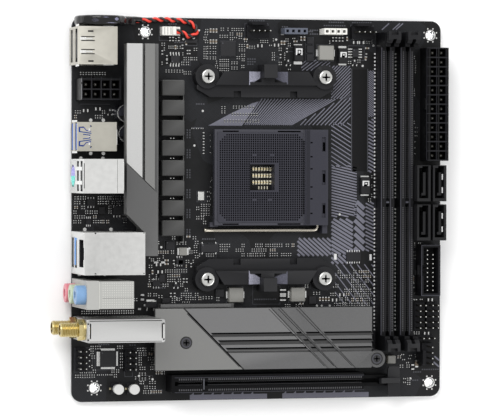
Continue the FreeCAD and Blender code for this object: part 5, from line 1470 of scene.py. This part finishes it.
def capacitor_dressing():
    """Black feet round the silver cans, and a white panel on each flat capacitor."""
    feet, labels, glyphs = Shape(), Shape(), Shape()
    for x, y in CANS:
        feet.prism([(x - 2.45, y - 2.45), (x + 2.45, y - 2.45), (x + 2.45, y + 2.45), (x - 2.45, y + 2.45)],
                   (TOP, 2.75))
        feet.ring(x, y, 2.42, 2.31, (2.7, 4.0), 28)
    feet.piece("can_feet", RESISTOR, "can")
    for x, y in (((122.0, 125.0), (153.2, 155.6)), ((101.3, 104.4), (154.0, 157.0)),
                 ((132.5, 135.7), (95.4, 97.8))):
        labels.block(x, y, (4.36, 4.44), 0.05)
        glyphs.outline((x[0] + 0.8, x[1] - 0.6), (y[0] + 0.4, y[1] - 0.6), 0.42, (4.43, 4.47))
        glyphs.block((x[0] + 0.6, x[1] - 0.9), (y[0] - 0.1, y[0] + 0.6), (4.43, 4.47))
        for low, high in ((y[0] - 3.0, y[0] - 2.5), (y[1] + 0.9, y[1] + 1.3)):
            labels.block((x[0] - 0.4, x[1] + 0.4), (low, high), raised(0.5), 0.05)
    labels.piece("capacitor_labels", WHITE_PRINT_AND_HIGHLIGHT, "can")
    glyphs.piece("capacitor_glyphs", SHADE_AND_PRINT_BLACK, "can")


def hole_lamps():
    """A small hidden lamp under each fixing hole, so the pale floor shows through it."""
    for i, (x, y) in enumerate(HOLES):
        lamp = bpy.data.lights.new(f"hole_lamp_{i}", "POINT")
        lamp.energy = 0.0006
        lamp.shadow_soft_size = 0.0004
        holder = add_object(f"hole_lamp_{i}", lamp)
        holder.location = at(x, y, -0.4)
        holder.visible_camera = False


# ---------------------------------------------------------------- set


def make_camera():
    data = bpy.data.cameras.new("camera")
    data.lens = CAMERA_LENS
    data.sensor_width = 36.0
    data.clip_start, data.clip_end = 0.05, 20.0
    camera = add_object("camera", data)
    turn = Euler([math.radians(a) for a in CAMERA_TURN], "XYZ").to_matrix().transposed()
    camera.matrix_world = Matrix.Translation(at(*CAMERA_AT)) @ turn.to_4x4()
    bpy.context.scene.camera = camera


def make_light(name, place, target, size, power):
    data = bpy.data.lights.new(name, "AREA")
    data.shape = "RECTANGLE"
    data.size = data.size_y = size
    data.energy = power
    light = add_object(name, data)
    light.location = place
    light.rotation_euler = (target - Vector(place)).to_track_quat("-Z", "Y").to_euler()


def make_set():
    """Pale floor, an even white surround, and soft boxes above and to the left."""
    low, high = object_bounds()
    centre = (low + high) / 2
    floor_mesh = bpy.data.meshes.new("floor")
    reach = 3.0
    floor_mesh.from_pydata([(-reach, -reach, low.z), (reach, -reach, low.z), (reach, reach, low.z),
                            (-reach, reach, low.z)], [], [(0, 1, 2, 3)])
    floor = add_object("floor", floor_mesh)
    pale = finish("floor", (0.93, 0.93, 0.93), 0.9, spread=0.004, scale=20.0, bump=0.0)
    floor_mesh.materials.append(pale)
    world = bpy.data.worlds.new("surround")
    world.use_nodes = True
    background = world.node_tree.nodes["Background"]
    background.inputs["Color"].default_value = (1, 1, 1, 1)
    background.inputs["Strength"].default_value = 0.85
    bpy.context.scene.world = world
    make_light("key", centre + Vector((-0.5, 0.6, 0.9)), centre, 0.7, 9.0)
    make_light("fill", centre + Vector((0.7, -0.5, 0.8)), centre, 0.6, 3.0)
    view = bpy.context.scene.view_settings
    view.view_transform = "Standard"
    view.look = "None"


make_camera()
battery_lead()
make_set()
dress_cad_nodes()
printed_pattern()
printed_outlines()
plated_spots()
all_chip_parts()
chip_leads()
socket_details()
memory_slot_details(1)
memory_slot_details(2)
expansion_slot_details()
power_header_details()
usb_header_details()
white_socket_details()
rear_shell_details()
port_contacts()
audio_details()
antenna_sockets()
screw_details()
capacitor_details()
choke_details()
battery_details()
pin_tips()
bracket_patches()
cover_grooves()
port_faces()
capacitor_dressing()
sideways_chips()
crowd_of_parts()
hole_lamps()
solder_tails()
backplate_details()
underside_printing()
